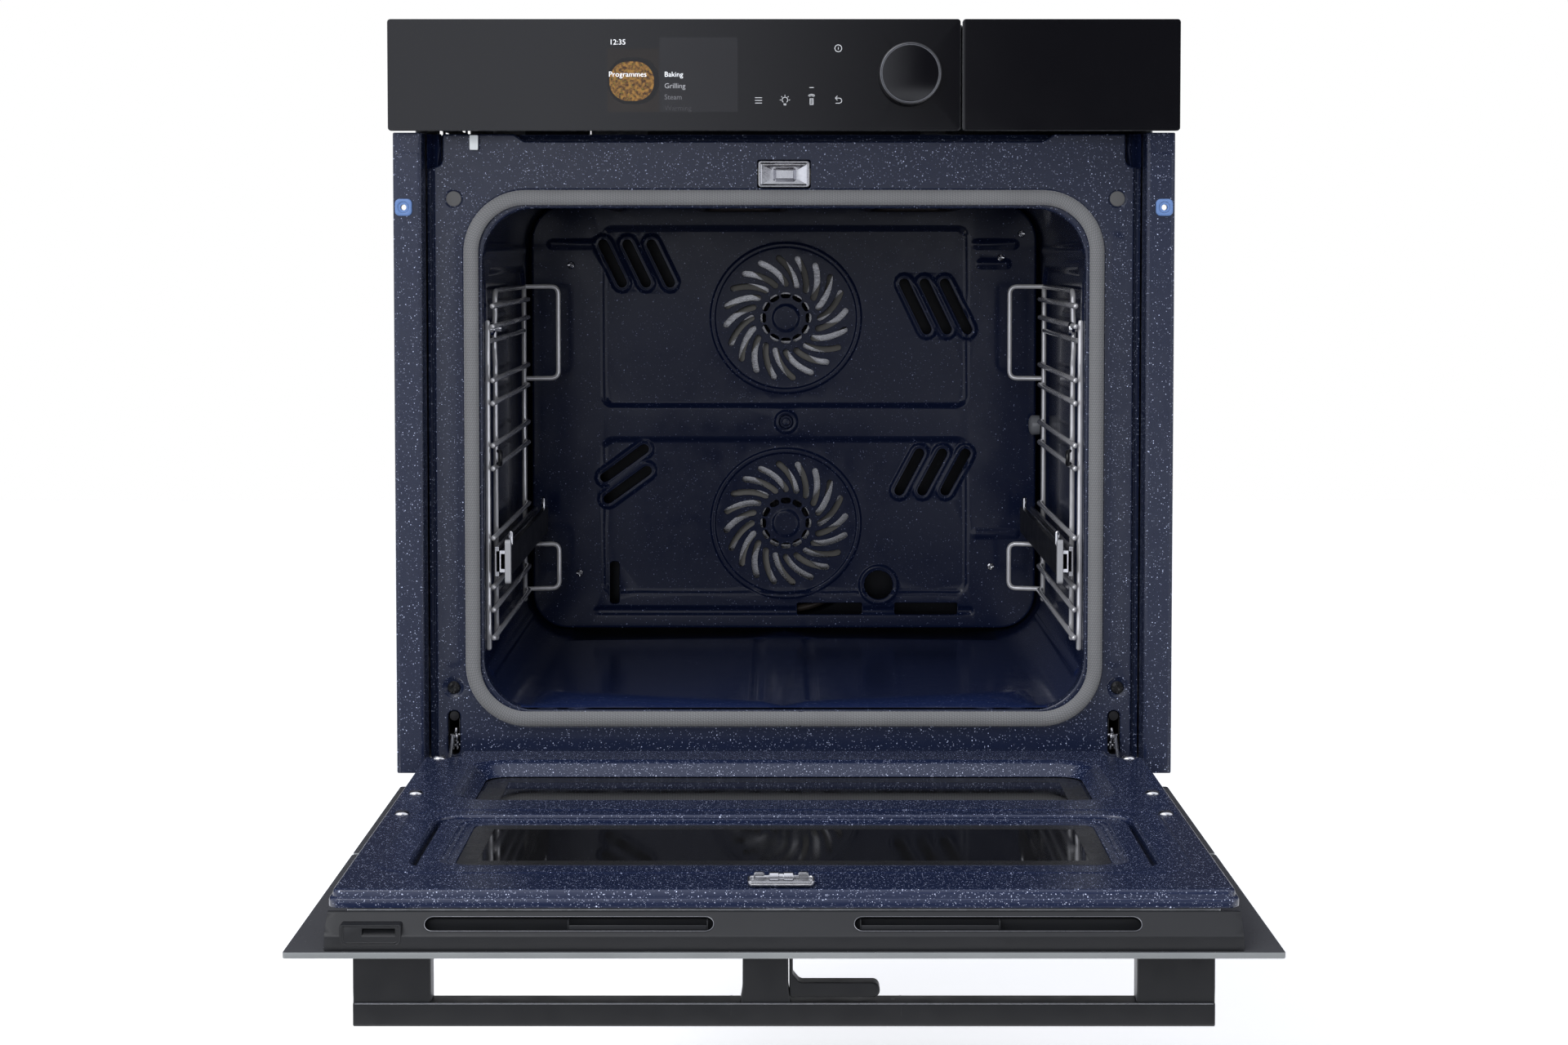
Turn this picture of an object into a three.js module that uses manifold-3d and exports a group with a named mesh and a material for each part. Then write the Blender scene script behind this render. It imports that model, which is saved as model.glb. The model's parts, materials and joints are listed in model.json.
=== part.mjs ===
// Built-in oven with a split (flex) door, shown with its door open.
// Millimetres. +Z up, +X to the right, -Y towards the person in front of the oven.
// The origin is the centre of the carcass's underside.
// Depth is counted back from the control panel's front.

import * as THREE from 'three';
import { mergeVertices } from 'three/addons/utils/BufferGeometryUtils.js';
import Module from 'manifold-3d';

const wasm = await Module();
wasm.setup();

// ---- Driving dimensions ----
const FRONT_WIDTH = 595;
const CARCASS_WIDTH = 560;
const CARCASS_HEIGHT = 572;
const CABINET_PLANE = 21; // depth of the cabinet's front, where the side trims seat
const REAR = 570; // depth of the rear cover's outer face
const MIDDLE = (CABINET_PLANE + REAR) / 2; // depth of the origin
const GAP = 0.3; // air between pieces that touch
const SHEET = 1.2; // steel sheet

const PANEL = { bottom: 490.2, top: 573.7, glass: 4, back: 40, split: 133.2, splitGap: 1.5 };
const KNOB = { x: 94.1, z: 532.1, r: 23.4, front: -19, back: -1.6, shaftR: 4 };
const TRIM = { inner: 275, outer: 296.5, front: 18, legEnd: 44.5, top: 489.6 };
const SCREW_HOLE = { x: 288.3, z: 433, r: 4.3 };
const PLATE = { x: 269, front: 45, bottom: 5, top: 485, edgeStep: 5.5 };
const MOUTH = { x: 232, bottom: 44.6, top: 432.7, r: 40 };
const GASKET = { outer: 246, inner: 234.5, front: 37.3, back: 44.7, r: 48 };
const CAVITY = { x: 236, bottom: 46, top: 446, r: 38, front: 46.8, back: 506 };
const BAFFLE = { depth: 470, x: 233, bottom: 50, top: 443, r: 33 };
const FANS = { x: 1.7, upper: 337.9, lower: 147.6, gridR: 57.6, wheelR: 60 };
const HINGE = { depth: 21, z: 2.3, pinR: 3, arm: 256.6, leaf: 253.4 };
const DOOR_SPLIT = -196; // depth of the top door's axis and of the gap between the two outer glasses
const GLASS = { near: 43.4, far: -464.6, split: 4, bottom: -18.8, top: -14.8 };
const FRAME = { x: 273.7, far: -446, notch: -6, near: 20, notchX: 249, bottom: 7.3, top: 17.9 };
const LOWER_WINDOW = { x: 221, near: -33, far: -159 };
const UPPER_OPENING = { x: 234, near: -223.5, far: -382.7 };
const UPPER_WINDOW = { x: 207.5, near: -237, far: -360 };
const DOOR_PAN = { x: 262, bottom: -14.5 };
const BAR = { x: 260.4, far: -435, near: -416.6, bottom: -68, top: -53.4 };
const RAIL = { z: 158.3, front: 62, length: 338, height: 23 };
const RACK = {
  post: 232, guide: 227.3, stop: 202, front: 80, second: 137, rear: 385, wireR: 2.2, bottom: 88, top: 368,
};
const RACK_LEVELS = [[119, 97], [175.5, 137], [248, 230], [299, 281], [357, 341]];
const DRAWER = { tankFront: 18.6, tankBack: 250, housingBack: 270 };
const BLOWER = { depth: 440, z: 504, r: 30, half: 116 };

// ---- Shape helpers ----
const y = (depth) => depth - MIDDLE;

function solid(geometry) {
  const bare = geometry.index ? geometry.toNonIndexed() : geometry.clone();
  bare.deleteAttribute('normal');
  bare.deleteAttribute('uv');
  const merged = mergeVertices(bare, 1e-4);
  return new wasm.Manifold(new wasm.Mesh({
    numProp: 3,
    vertProperties: new Float32Array(merged.attributes.position.array),
    triVerts: new Uint32Array(merged.index.array),
  }));
}

const join = (...pieces) => pieces.flat().reduce((all, next) => all.add(next));
const cut = (body, ...tools) => tools.flat().reduce((left, tool) => left.subtract(tool), body);

// A block from corner to corner: x, depth and z ranges in any order.
function block([x0, x1], [d0, d1], [z0, z1]) {
  const size = [x1 - x0, d1 - d0, z1 - z0].map(Math.abs);
  const geometry = new THREE.BoxGeometry(...size);
  geometry.translate((x0 + x1) / 2, y((d0 + d1) / 2), (z0 + z1) / 2);
  return solid(geometry);
}

// An outline with round corners between two opposite corners.
function roundedRect(x0, x1, v0, v1, r) {
  const shape = new THREE.Shape();
  shape.moveTo(x0 + r, v0);
  shape.absarc(x1 - r, v0 + r, r, -Math.PI / 2, 0);
  shape.absarc(x1 - r, v1 - r, r, 0, Math.PI / 2);
  shape.absarc(x0 + r, v1 - r, r, Math.PI / 2, Math.PI);
  shape.absarc(x0 + r, v0 + r, r, Math.PI, Math.PI * 1.5);
  return shape;
}

function polygon(points) {
  return new THREE.Shape(points.map(([a, b]) => new THREE.Vector2(a, b)));
}

function circle(cx, cy, r) {
  return new THREE.Shape().absarc(cx, cy, r, 0, Math.PI * 2);
}

// Outline in x and z, running back through the depths d0 to d1.
function facing(shape, d0, d1, segments = 3) {
  const geometry = new THREE.ExtrudeGeometry(shape, {
    depth: d1 - d0, bevelEnabled: false, curveSegments: segments,
  });
  geometry.rotateX(Math.PI / 2);
  geometry.translate(0, y(d1), 0);
  return solid(geometry);
}

// Outline in x and depth, standing from z0 to z1.
function lying(shape, z0, z1, segments = 3) {
  const geometry = new THREE.ExtrudeGeometry(shape, {
    depth: z1 - z0, bevelEnabled: false, curveSegments: segments,
  });
  geometry.translate(0, -MIDDLE, z0);
  return solid(geometry);
}

// Outline in depth and z, running across from x0 to x1.
function across(shape, x0, x1, segments = 3) {
  const geometry = new THREE.ExtrudeGeometry(shape, {
    depth: x1 - x0, bevelEnabled: false, curveSegments: segments,
  });
  const turn = new THREE.Matrix4().set(0, 0, 1, x0, 1, 0, 0, -MIDDLE, 0, 1, 0, 0, 0, 0, 0, 1);
  geometry.applyMatrix4(turn);
  return solid(geometry);
}

// A round bar between two points given as [x, depth, z].
function rod(from, to, r, sides = 12) {
  const a = new THREE.Vector3(from[0], y(from[1]), from[2]);
  const b = new THREE.Vector3(to[0], y(to[1]), to[2]);
  const along = b.clone().sub(a);
  const geometry = new THREE.CylinderGeometry(r, r, along.length(), sides);
  const up = new THREE.Vector3(0, 1, 0);
  geometry.applyQuaternion(new THREE.Quaternion().setFromUnitVectors(up, along.clone().normalize()));
  geometry.translate(...a.add(b).multiplyScalar(0.5).toArray());
  return solid(geometry);
}

// Bent wire: straight rods that run a little into each other at the bends.
function wire(points, r, sides = 4) {
  const rods = [];
  for (let i = 1; i < points.length; i += 1) {
    const a = new THREE.Vector3(...points[i - 1]);
    const b = new THREE.Vector3(...points[i]);
    const over = b.clone().sub(a).setLength(r * 0.7);
    rods.push(rod(a.clone().sub(over).toArray(), b.clone().add(over).toArray(), r, sides));
  }
  return join(rods);
}

const mirrored = (body) => body.mirror([1, 0, 0]);

// ---- Finishes ----
const FINISH = {
  enamel: ['#2b3048', 0.32, 0.1],
  cavityEnamel: ['#171b33', 0.35, 0.1],
  galvanised: ['#a8acb0', 0.45, 0.8],
  blackGlass: ['#0b0b10', 0.08, 0],
  clearGlass: ['#23262a', 0.05, 0],
  chrome: ['#d0d0d2', 0.15, 1],
  steel: ['#b5b6b8', 0.3, 1],
  gasket: ['#8d8f93', 0.85, 0],
  darkTrim: ['#3c3d41', 0.5, 0.2],
  handle: ['#2a2b2e', 0.45, 0.4],
  plastic: ['#2c2d30', 0.6, 0],
  whitePlastic: ['#dfe3e6', 0.5, 0],
  insulation: ['#c9c4b4', 0.95, 0],
  element: ['#3a3a3d', 0.4, 0.7],
  screen: ['#15202c', 0.2, 0],
};

const oven = new THREE.Group();

function add(name, body, finish) {
  const [color, roughness, metalness] = FINISH[finish];
  const { vertProperties, triVerts } = body.getMesh();
  const geometry = new THREE.BufferGeometry();
  geometry.setAttribute('position', new THREE.BufferAttribute(new Float32Array(vertProperties), 3));
  geometry.setIndex(new THREE.BufferAttribute(new Uint32Array(triVerts), 1));
  geometry.computeVertexNormals();
  const mesh = new THREE.Mesh(geometry, new THREE.MeshStandardMaterial({ color, roughness, metalness }));
  mesh.name = name;
  oven.add(mesh);
}

// ---- Carcass ----
function basePlate() {
  const half = CARCASS_WIDTH / 2 - SHEET - GAP;
  const floor = block([-half, half], [PLATE.front + 1, 568], [0, 1.5]);
  const slots = [-160, -80, 0, 80, 160].map((x) => block([x - 25, x + 25], [440, 446], [-1, 3]));
  return cut(floor, slots);
}

function outerWrap() {
  const half = CARCASS_WIDTH / 2;
  const outline = polygon([[-half, 0], [half, 0], [half, CARCASS_HEIGHT], [-half, CARCASS_HEIGHT]]);
  const inner = polygon([
    [-half + SHEET, -5], [half - SHEET, -5],
    [half - SHEET, CARCASS_HEIGHT - SHEET], [-half + SHEET, CARCASS_HEIGHT - SHEET],
  ]);
  const shell = cut(facing(outline, 24, 568), facing(inner, 10, 600));
  // The top starts behind the control panel's chassis.
  return cut(shell, block([-300, 300], [10, PANEL.back + 2], [480, 600]));
}

function rearCover() {
  const half = CARCASS_WIDTH / 2;
  const cover = block([-half, half], [568.4, REAR], [4, CARCASS_HEIGHT]);
  const slots = [];
  for (let row = 0; row < 2; row += 1) {
    for (let i = 0; i < 5; i += 1) {
      const x = -140 + i * 70;
      slots.push(block([x - 25, x + 25], [560, 580], [470 + row * 22, 476 + row * 22]));
    }
  }
  const terminalWindow = block([-246, -184], [560, 580], [478, 532]);
  return cut(cover, slots, terminalWindow);
}

function frontPlate() {
  const { x, front, bottom, top, edgeStep } = PLATE;
  const wide = TRIM.inner - 0.5;
  const sheet = facing(polygon([[-x, bottom], [x, bottom], [x, top], [-x, top]]), front, front + 1.5);
  const sides = [-1, 1].map((side) => join(
    block([side * (x - 1.5), side * x], [front, front + edgeStep + 1.5], [bottom, top]),
    block([side * (x - 1.5), side * wide], [front + edgeStep, front + edgeStep + 1.5], [bottom, top]),
  ));
  const mouth = facing(roundedRect(-MOUTH.x, MOUTH.x, MOUTH.bottom, MOUTH.top, MOUTH.r), 30, 60, 4);
  const keeperWindow = block([-20, 20], [30, 60], [448.4, 469.4]);
  const hingeSlots = [-1, 1].map((side) => block([side * 251, side * 260.5], [30, 60], [9.5, 44]));
  const cornerNotches = [-1, 1].map((side) => facing(
    roundedRect(Math.min(side * 262, side * 282), Math.max(side * 262, side * 282), 464.6, 540, 9),
    30, front + 3));
  return cut(join(sheet, sides), mouth, keeperWindow, hingeSlots, cornerNotches);
}

// Folded sheet: a flange that seats on the cabinet, and a leg that runs back to the front plate.
function sideTrim() {
  const { inner, outer, front, legEnd, top } = TRIM;
  const profile = polygon([
    [inner, front], [outer, front], [outer, CABINET_PLANE],
    [inner + 1.5, CABINET_PLANE], [inner + 1.5, legEnd], [inner, legEnd],
  ]);
  const opening = facing(circle(SCREW_HOLE.x, SCREW_HOLE.z, SCREW_HOLE.r), 0, 30);
  return cut(lying(profile, 0, top), opening);
}

function doorGasket() {
  const { outer, inner, front, back, r } = GASKET;
  const grow = outer - MOUTH.x - 2;
  const inset = inner - MOUTH.x - 2;
  const ring = (reach, radius) => roundedRect(
    -MOUTH.x - 2 - reach, MOUTH.x + 2 + reach,
    MOUTH.bottom - reach, MOUTH.top + 2 + reach, radius);
  return cut(facing(ring(grow, r), front, back, 4), facing(ring(inset, r - 11.5), 0, 99, 4));
}

function doorKeeper() {
  const tray = cut(
    block([-19.6, 19.6], [45.2, 55.6], [448.8, 469]),
    block([-18.2, 18.2], [40, 54.2], [450.2, 467.6]),
  );
  const pad = block([-6, 7], [49, 55], [452, 466]);
  return join(tray, pad);
}

function sensorTab() {
  return block([-240.6, -234], [38.2, 41], [477.2, 488.6]);
}

// Two walls and a floor that hold the hinge arm behind the front plate.
function hingeReceiver() {
  const wallIn = block([251.6, 253], [53, 120], [8, 48]);
  const wallOut = block([260.2, 261.6], [53, 120], [8, 48]);
  const back = block([251.6, 261.6], [118.6, 120], [8, 48]);
  const floor = block([251.6, 261.6], [53, 120], [8, 9.4]);
  return join(wallIn, wallOut, back, floor);
}

// Fixed arm with the pin that the door turns on.
function hingeArm() {
  const { depth, z, pinR, arm } = HINGE;
  const outline = polygon([
    [depth - 5, z - 3], [depth + 4, z - 4.6], [46, 10.2], [112, 10.2],
    [112, 27], [44, 27], [depth - 3, z + 5.4],
  ]);
  const plate = across(outline, arm - 1.25, arm + 1.25);
  const pin = rod([HINGE.leaf - 2.4, depth, z], [arm, depth, z], pinR, 16);
  return join(plate, pin);
}

// ---- Cavity ----
function cavityLiner() {
  const { x, bottom, top, r, front, back } = CAVITY;
  const skin = roundedRect(-x - SHEET, x + SHEET, bottom - SHEET, top + SHEET, r + SHEET);
  const outside = facing(skin, front, back, 4);
  const inside = facing(roundedRect(-x, x, bottom, top, r), front - 5, back - SHEET, 4);
  const flange = facing(roundedRect(-250, 250, 30, 458, 50), front, front + SHEET, 4);
  const keeperRoom = block([-21, 21], [40, 60], [top + SHEET + 0.3, 470]);
  const shaftHoles = [FANS.upper, FANS.lower].map((z) => rod([FANS.x, 490, z], [FANS.x, 520, z], 9));
  return cut(join(outside, flange), inside, keeperRoom, shaftHoles);
}

// Curved slots and a ring of ovals, as in a stamped fan grille.
function grilleCutters(z) {
  const cutters = [];
  const slots = 20;
  for (let i = 0; i < slots; i += 1) {
    const start = (i / slots) * Math.PI * 2;
    const points = [];
    const steps = 2;
    for (let side = 1; side >= -1; side -= 2) {
      for (let j = 0; j <= steps; j += 1) {
        const share = side > 0 ? j / steps : 1 - j / steps;
        const radius = 29 + share * (FANS.gridR - 29);
        const angle = start + share * 0.43 + (side * 2.7) / radius;
        points.push([FANS.x + radius * Math.cos(angle), z + radius * Math.sin(angle)]);
      }
    }
    cutters.push(facing(polygon(points.reverse()), BAFFLE.depth - 5, BAFFLE.depth + 5));
  }
  for (let i = 0; i < 12; i += 1) {
    const angle = (i / 12) * Math.PI * 2;
    const centre = [FANS.x + 21 * Math.cos(angle), z + 21 * Math.sin(angle)];
    cutters.push(facing(circle(...centre, 3.4), BAFFLE.depth - 5, BAFFLE.depth + 5));
  }
  return cutters;
}

function slantedSlot(x, z, length, width, degrees) {
  const a = THREE.MathUtils.degToRad(degrees);
  const [c, s] = [Math.cos(a), Math.sin(a)];
  const corner = (u, v) => [x + u * c - v * s, z + u * s + v * c];
  const [l, w] = [length / 2, width / 2];
  return facing(polygon([corner(-l, -w), corner(l, -w), corner(l, w), corner(-l, w)]), 460, 480);
}

function rearBaffle() {
  const { depth, x, bottom, top, r } = BAFFLE;
  const sheet = facing(roundedRect(-x, x, bottom, top, r), depth, depth + SHEET, 4);
  const legs = [[-180, 90], [180, 90], [-180, 390], [180, 390]].map(([lx, lz]) => rod(
    [lx, depth, lz], [lx, CAVITY.back - SHEET - GAP, lz], 5, 8));
  const vents = [];
  for (let i = 0; i < 3; i += 1) {
    vents.push(slantedSlot(-158.5 + i * 22, 387, 48, 9, -64));
    vents.push(slantedSlot(121.5 + i * 18, 349, 56, 9, -64));
    vents.push(slantedSlot(116.5 + i * 21, 195.5, 48, 9, 62));
  }
  vents.push(slantedSlot(-147.5, 203, 52, 9, 36), slantedSlot(-145, 184, 52, 9, 36));
  const floorSlots = [[12, 72.4], [102.5, 160.8]].map((span) => block(span, [460, 480], [62.7, 73.6]));
  const sideSlot = block([-160.5, -151.5], [460, 480], [72.8, 112]);
  const probeHole = facing(circle(87.7, 90.3, 13.2), 460, 480);
  return cut(
    join(sheet, legs), grilleCutters(FANS.upper), grilleCutters(FANS.lower),
    vents, floorSlots, sideSlot, probeHole,
  );
}

function fanImpeller(z) {
  const { x, wheelR } = FANS;
  const disc = rod([x, 494, z], [x, 495.2, z], wheelR, 24);
  const hub = rod([x, 484, z], [x, 498, z], 9, 12);
  const shaft = rod([x, 490, z], [x, 522, z], 4, 12);
  const blades = [];
  for (let i = 0; i < 12; i += 1) {
    const blade = block([34, wheelR - 1], [480, 494.5], [-0.6, 0.6]);
    blades.push(blade.rotate([0, (i * 360) / 12, 0]).translate([x, 0, z]));
  }
  return join(disc, hub, shaft, blades);
}

function ringHeater(z) {
  const geometry = new THREE.TorusGeometry(82, 3.2, 6, 28);
  geometry.rotateX(Math.PI / 2);
  geometry.translate(FANS.x, y(487), z);
  const legs = [-1, 1].map((side) => rod(
    [FANS.x + side * 12, 487, z + 81], [FANS.x + side * 12, CAVITY.back - SHEET - GAP, z + 81], 3, 6));
  return join(solid(geometry), legs);
}

function fanMotor(z) {
  const can = rod([FANS.x, 512, z], [FANS.x, 552, z], 31, 20);
  const flange = block([FANS.x - 44, FANS.x + 44], [510, 513], [z - 15, z + 15]);
  const bore = rod([FANS.x, 500, z], [FANS.x, 526, z], 5, 12);
  return cut(join(can, flange), bore);
}

// Serpentine tube element in the horizontal plane z.
function serpentine(z, halfWidth, near, far, passes) {
  const points = [];
  for (let i = 0; i < passes; i += 1) {
    const x = -halfWidth + (2 * halfWidth * i) / (passes - 1);
    const ends = i % 2 ? [near, far] : [far, near];
    points.push([x, ends[0], z], [x, ends[1], z]);
  }
  return wire(points, 3.4, 6);
}

function insulationJacket() {
  const outside = facing(roundedRect(-264, 264, 18, 465, 44), 56, 500);
  const inside = facing(roundedRect(-240, 240, 31, 449.5, 42), 40, 520);
  const receiverRoom = [-1, 1].map((side) => block([side * 250, side * 270], [40, 124], [0, 52]));
  return cut(outside, inside, receiverRoom);
}

// Chrome wire ladder on the cavity's side wall. The guide pairs, in which a tray's edge slides, run back
// from the front and bend out into the rear post. Loops on that post stop the trays.
function sideRack() {
  const { post, guide, stop, front, rear, wireR, bottom, top } = RACK;
  const pieces = [wire([[post, rear, bottom], [post, rear, top]], wireR)];
  for (const z of RACK_LEVELS.flat()) {
    pieces.push(wire([[guide, front - 8, z], [guide, rear - 7, z], [post, rear, z]], wireR));
  }
  for (const [low, high] of [[286, top], [RACK_LEVELS[0][1], RACK_LEVELS[1][1]]]) {
    pieces.push(wire([
      [post, rear + 2, low], [stop, rear + 8, low], [stop, rear + 8, high], [post, rear + 2, high],
    ], wireR));
  }
  return join(pieces);
}

// The ladder's two front posts, against the wall, with the wires that tie them together.
function rackPosts() {
  const { post, front, second, rear, wireR, bottom, top } = RACK;
  const end = rear - 2 * wireR - GAP;
  return join(
    wire([[post, front, bottom], [post, front, 344]], wireR),
    wire([[post, second, bottom], [post, second, top], [post, end, top]], wireR),
    wire([[post, front, 329], [post, end, 329]], wireR),
  );
}

// One member of the telescopic rail, between two distances from the middle of the oven.
function railMember(inner, outer, height, extra = []) {
  const { z, front, length } = RAIL;
  const strip = block([inner, outer], [front, front + length], [z - height / 2, z + height / 2]);
  return join(strip, extra);
}

function innerRail() {
  const { z, front, length, height } = RAIL;
  const cap = across(roundedRect(front - 4, front + 2, z - 17.4, z + 17.4, 2.9), 212.6, 217);
  const pins = [front + 22, front + length - 20].map((depth) => rod(
    [214.8, depth, z], [214.8, depth, z + height / 2 + 9], 2.1, 8));
  return railMember(212.6, 217, height, [cap, ...pins]);
}

// ---- Control panel ----
function panelGlass() {
  const { bottom, top, glass, split, splitGap } = PANEL;
  const right = split - splitGap / 2;
  const sheet = facing(roundedRect(-FRONT_WIDTH / 2, right, bottom, top, 2), 0, glass, 2);
  return cut(sheet, facing(circle(KNOB.x, KNOB.z, KNOB.shaftR + 1.5), -5, 10));
}

function panelChassis() {
  const { glass, back, split, bottom, top } = PANEL;
  const right = split - 3;
  const outside = block([-277, right], [glass + GAP, back], [bottom + 1.5, top - 4]);
  const inside = block([-275, right - 2], [0, back - 2], [bottom + 3.5, top - 6]);
  const shaftHole = facing(circle(KNOB.x, KNOB.z, KNOB.shaftR + 1), 0, 60);
  return cut(outside, inside, shaftHole);
}

function displayModule() {
  return block([-140, 62], [PANEL.glass + 0.5, 18], [499, 566]);
}

function knob() {
  const { r, front, back, shaftR, x, z } = KNOB;
  const long = back - front;
  const profile = [
    [0, 0], [r - 1.2, 0], [r, 1.2], [r, long - 2.4], [r - 1.6, long], [0, long],
  ].map(([a, b]) => new THREE.Vector2(a, b));
  const geometry = new THREE.LatheGeometry(profile, 32);
  geometry.translate(x, y(front), z);
  return cut(solid(geometry), rod([x, back - 9, z], [x, back + 3, z], shaftR + GAP, 16));
}

function knobShaft() {
  return rod([KNOB.x, KNOB.back - 8, KNOB.z], [KNOB.x, 34, KNOB.z], KNOB.shaftR, 16);
}

function drawerFront() {
  const { bottom, top, split, splitGap } = PANEL;
  const left = split + splitGap / 2;
  return facing(roundedRect(left, FRONT_WIDTH / 2, bottom, top, 2), 0, DRAWER.tankFront - GAP, 2);
}

function tankHousing() {
  const outside = block([137, 277], [CABINET_PLANE, DRAWER.housingBack], [492.5, 569.5]);
  return cut(outside, block([139, 275], [0, DRAWER.housingBack - 2], [494.5, 567.5]));
}

function waterTank() {
  const outside = block([141, 273], [DRAWER.tankFront, DRAWER.tankBack], [496.5, 562]);
  return cut(outside, block([143.5, 270.5], [24, DRAWER.tankBack - 2.5], [499, 580]));
}

// ---- Cooling and mains ----
function blowerHousing() {
  const { depth, z, r, half } = BLOWER;
  const outside = block([-half - 6, half + 6], [depth - 42, depth + 40], [z - 38, z + 38]);
  const chamber = rod([-half - 3, depth, z], [half + 3, depth, z], r + 4, 24);
  const outlet = block([-half, half], [depth - 60, depth - 10], [z - 34, z - 8]);
  const inlet = block([-half, half], [depth - 24, depth + 24], [z, z + 60]);
  const shaftHole = rod([-half - 20, depth, z], [half + 20, depth, z], 5, 12);
  return cut(outside, chamber, outlet, inlet, shaftHole);
}

function blowerWheel() {
  const { depth, z, r, half } = BLOWER;
  const discs = [-half, 0, half - 2].map((x) => rod([x, depth, z], [x + 2, depth, z], r, 20));
  const shaft = rod([-half - 5, depth, z], [half + 5, depth, z], 4, 10);
  const blades = [];
  for (let i = 0; i < 10; i += 1) {
    const blade = block([-half + 1, half - 1], [MIDDLE + r - 8, MIDDLE + r - 1], [-0.7, 0.7]);
    blades.push(blade.rotate([i * 36, 0, 0]).translate([0, y(depth), z]));
  }
  return join(discs, shaft, blades);
}

function mainsTerminal() {
  const body = block([-245, -185], [545, 569.6], [479, 531]);
  const room = block([-242, -188], [548, 580], [482, 528]);
  const posts = [-230, -215, -200].map((x) => block([x - 5, x + 5], [547, 562], [495, 515]));
  const cordHole = rod([-215, 550, 485.5], [-215, 580, 485.5], 3.6);
  const gland = cut(block([-224, -206], [560, 569.6], [481, 490]), cordHole);
  return join(cut(body, room), posts, gland);
}

// ---- Door: enamelled frame with the lower window ----
function frameOutline(inset) {
  const { x, far, notch, near, notchX } = FRAME;
  const [side, corner] = [x - inset, notchX - 1 - inset];
  return polygon([
    [-side, far + inset], [side, far + inset], [side, notch - inset], [corner, notch - inset],
    [corner, near - inset], [-corner, near - inset], [-corner, notch - inset], [-side, notch - inset],
  ]);
}

function doorFrame() {
  const { bottom, top } = FRAME;
  const sheet = lying(frameOutline(0), top - 1.5, top);
  const rim = cut(lying(frameOutline(0), bottom, top), lying(frameOutline(1.5), bottom - 1, top + 1));
  const windowRim = (w, r) => cut(
    lying(roundedRect(-w.x - 1.5, w.x + 1.5, w.far - 1.5, w.near + 1.5, r + 1.5), bottom, top),
    lying(roundedRect(-w.x, w.x, w.far, w.near, r), bottom - 1, top + 1),
  );
  const openings = [LOWER_WINDOW, UPPER_OPENING].map((w) => lying(
    roundedRect(-w.x, w.x, w.far, w.near, 14), bottom - 1, top + 1));
  const pan = cut(
    lying(lowerPanOutline(0), DOOR_PAN.bottom, top - 1),
    lying(lowerPanOutline(1.5), DOOR_PAN.bottom - 1, top - 1.4),
  );
  const leafSlots = [-1, 1].map((side) => block([side * 251.2, side * 255.6], [-30, 60], [-18, 12]));
  const rims = [rim, windowRim(LOWER_WINDOW, 14), windowRim(UPPER_OPENING, 14)];
  return cut(join(sheet, rims, cut(pan, leafSlots)), openings);
}

function lowerPanOutline(inset) {
  const [side, corner] = [DOOR_PAN.x - inset, FRAME.notchX - 3 - inset];
  return polygon([
    [-side, -190 + inset], [side, -190 + inset], [side, -9 - inset], [corner, -9 - inset],
    [corner, 17 - inset], [-corner, 17 - inset], [-corner, -9 - inset], [-side, -9 - inset],
  ]);
}

function outerGlass(far, near) {
  const half = FRONT_WIDTH / 2;
  return lying(roundedRect(-half, half, far, near, 2), GLASS.bottom, GLASS.top, 2);
}

function lowerWindow() {
  const { x, near, far } = LOWER_WINDOW;
  return lying(roundedRect(-x - 8, x + 8, far - 8, near + 8, 16), FRAME.bottom - 4.3, FRAME.bottom - GAP);
}

// Catch on the door: base lip, two tabs and a roller between them.
function doorCatch() {
  const z = FRAME.top + GAP;
  const base = block([-20.9, 17.4], [-440, -426], [z, z + 1.5]);
  const lip = block([-20.9, 17.4], [-440, -438.6], [z, z + 3.4]);
  const ends = [[-20.9, -19.4], [15.9, 17.4]].map((span) => block(span, [-440, -429], [z, z + 4]));
  const tabs = [[-18.3, -11.7], [8.5, 15]].map((span) => block(span, [-431, -428.5], [z, z + 7.4]));
  const roller = rod([-9.3, -430, z + 4.6], [6, -430, z + 4.6], 2.8, 12);
  const cradle = block([-9.3, 6], [-431, -429], [z, z + 4]);
  const axle = rod([-16, -430, z + 4.6], [12, -430, z + 4.6], 0.9, 6);
  return join(base, lip, ends, tabs, cradle, roller, axle);
}

// Moving leaf that carries the door on the hinge pin.
function hingeLeaf() {
  const { depth, z, pinR, leaf } = HINGE;
  const outline = polygon([
    [depth - 4, z - 6], [depth + 5, z - 5], [depth + 7, z], [depth + 5, z + 5], [depth - 4, z + 6],
    [-8, z + 4.2], [-120, z + 4.2], [-120, -12], [-8, -12],
  ].reverse());
  const bore = rod([240, depth, z], [270, depth, z], pinR + GAP, 16);
  return cut(across(outline, leaf - 1.25, leaf + 1.25), bore);
}

// Housing of the top door's pivot, on the side of the door frame.
function flexHinge() {
  return cut(
    block([263, 270], [-214, -178], [-13, FRAME.bottom - GAP]),
    block([264.5, 268.5], [-211, -181], [-11, FRAME.bottom + 5]),
  );
}

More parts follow.
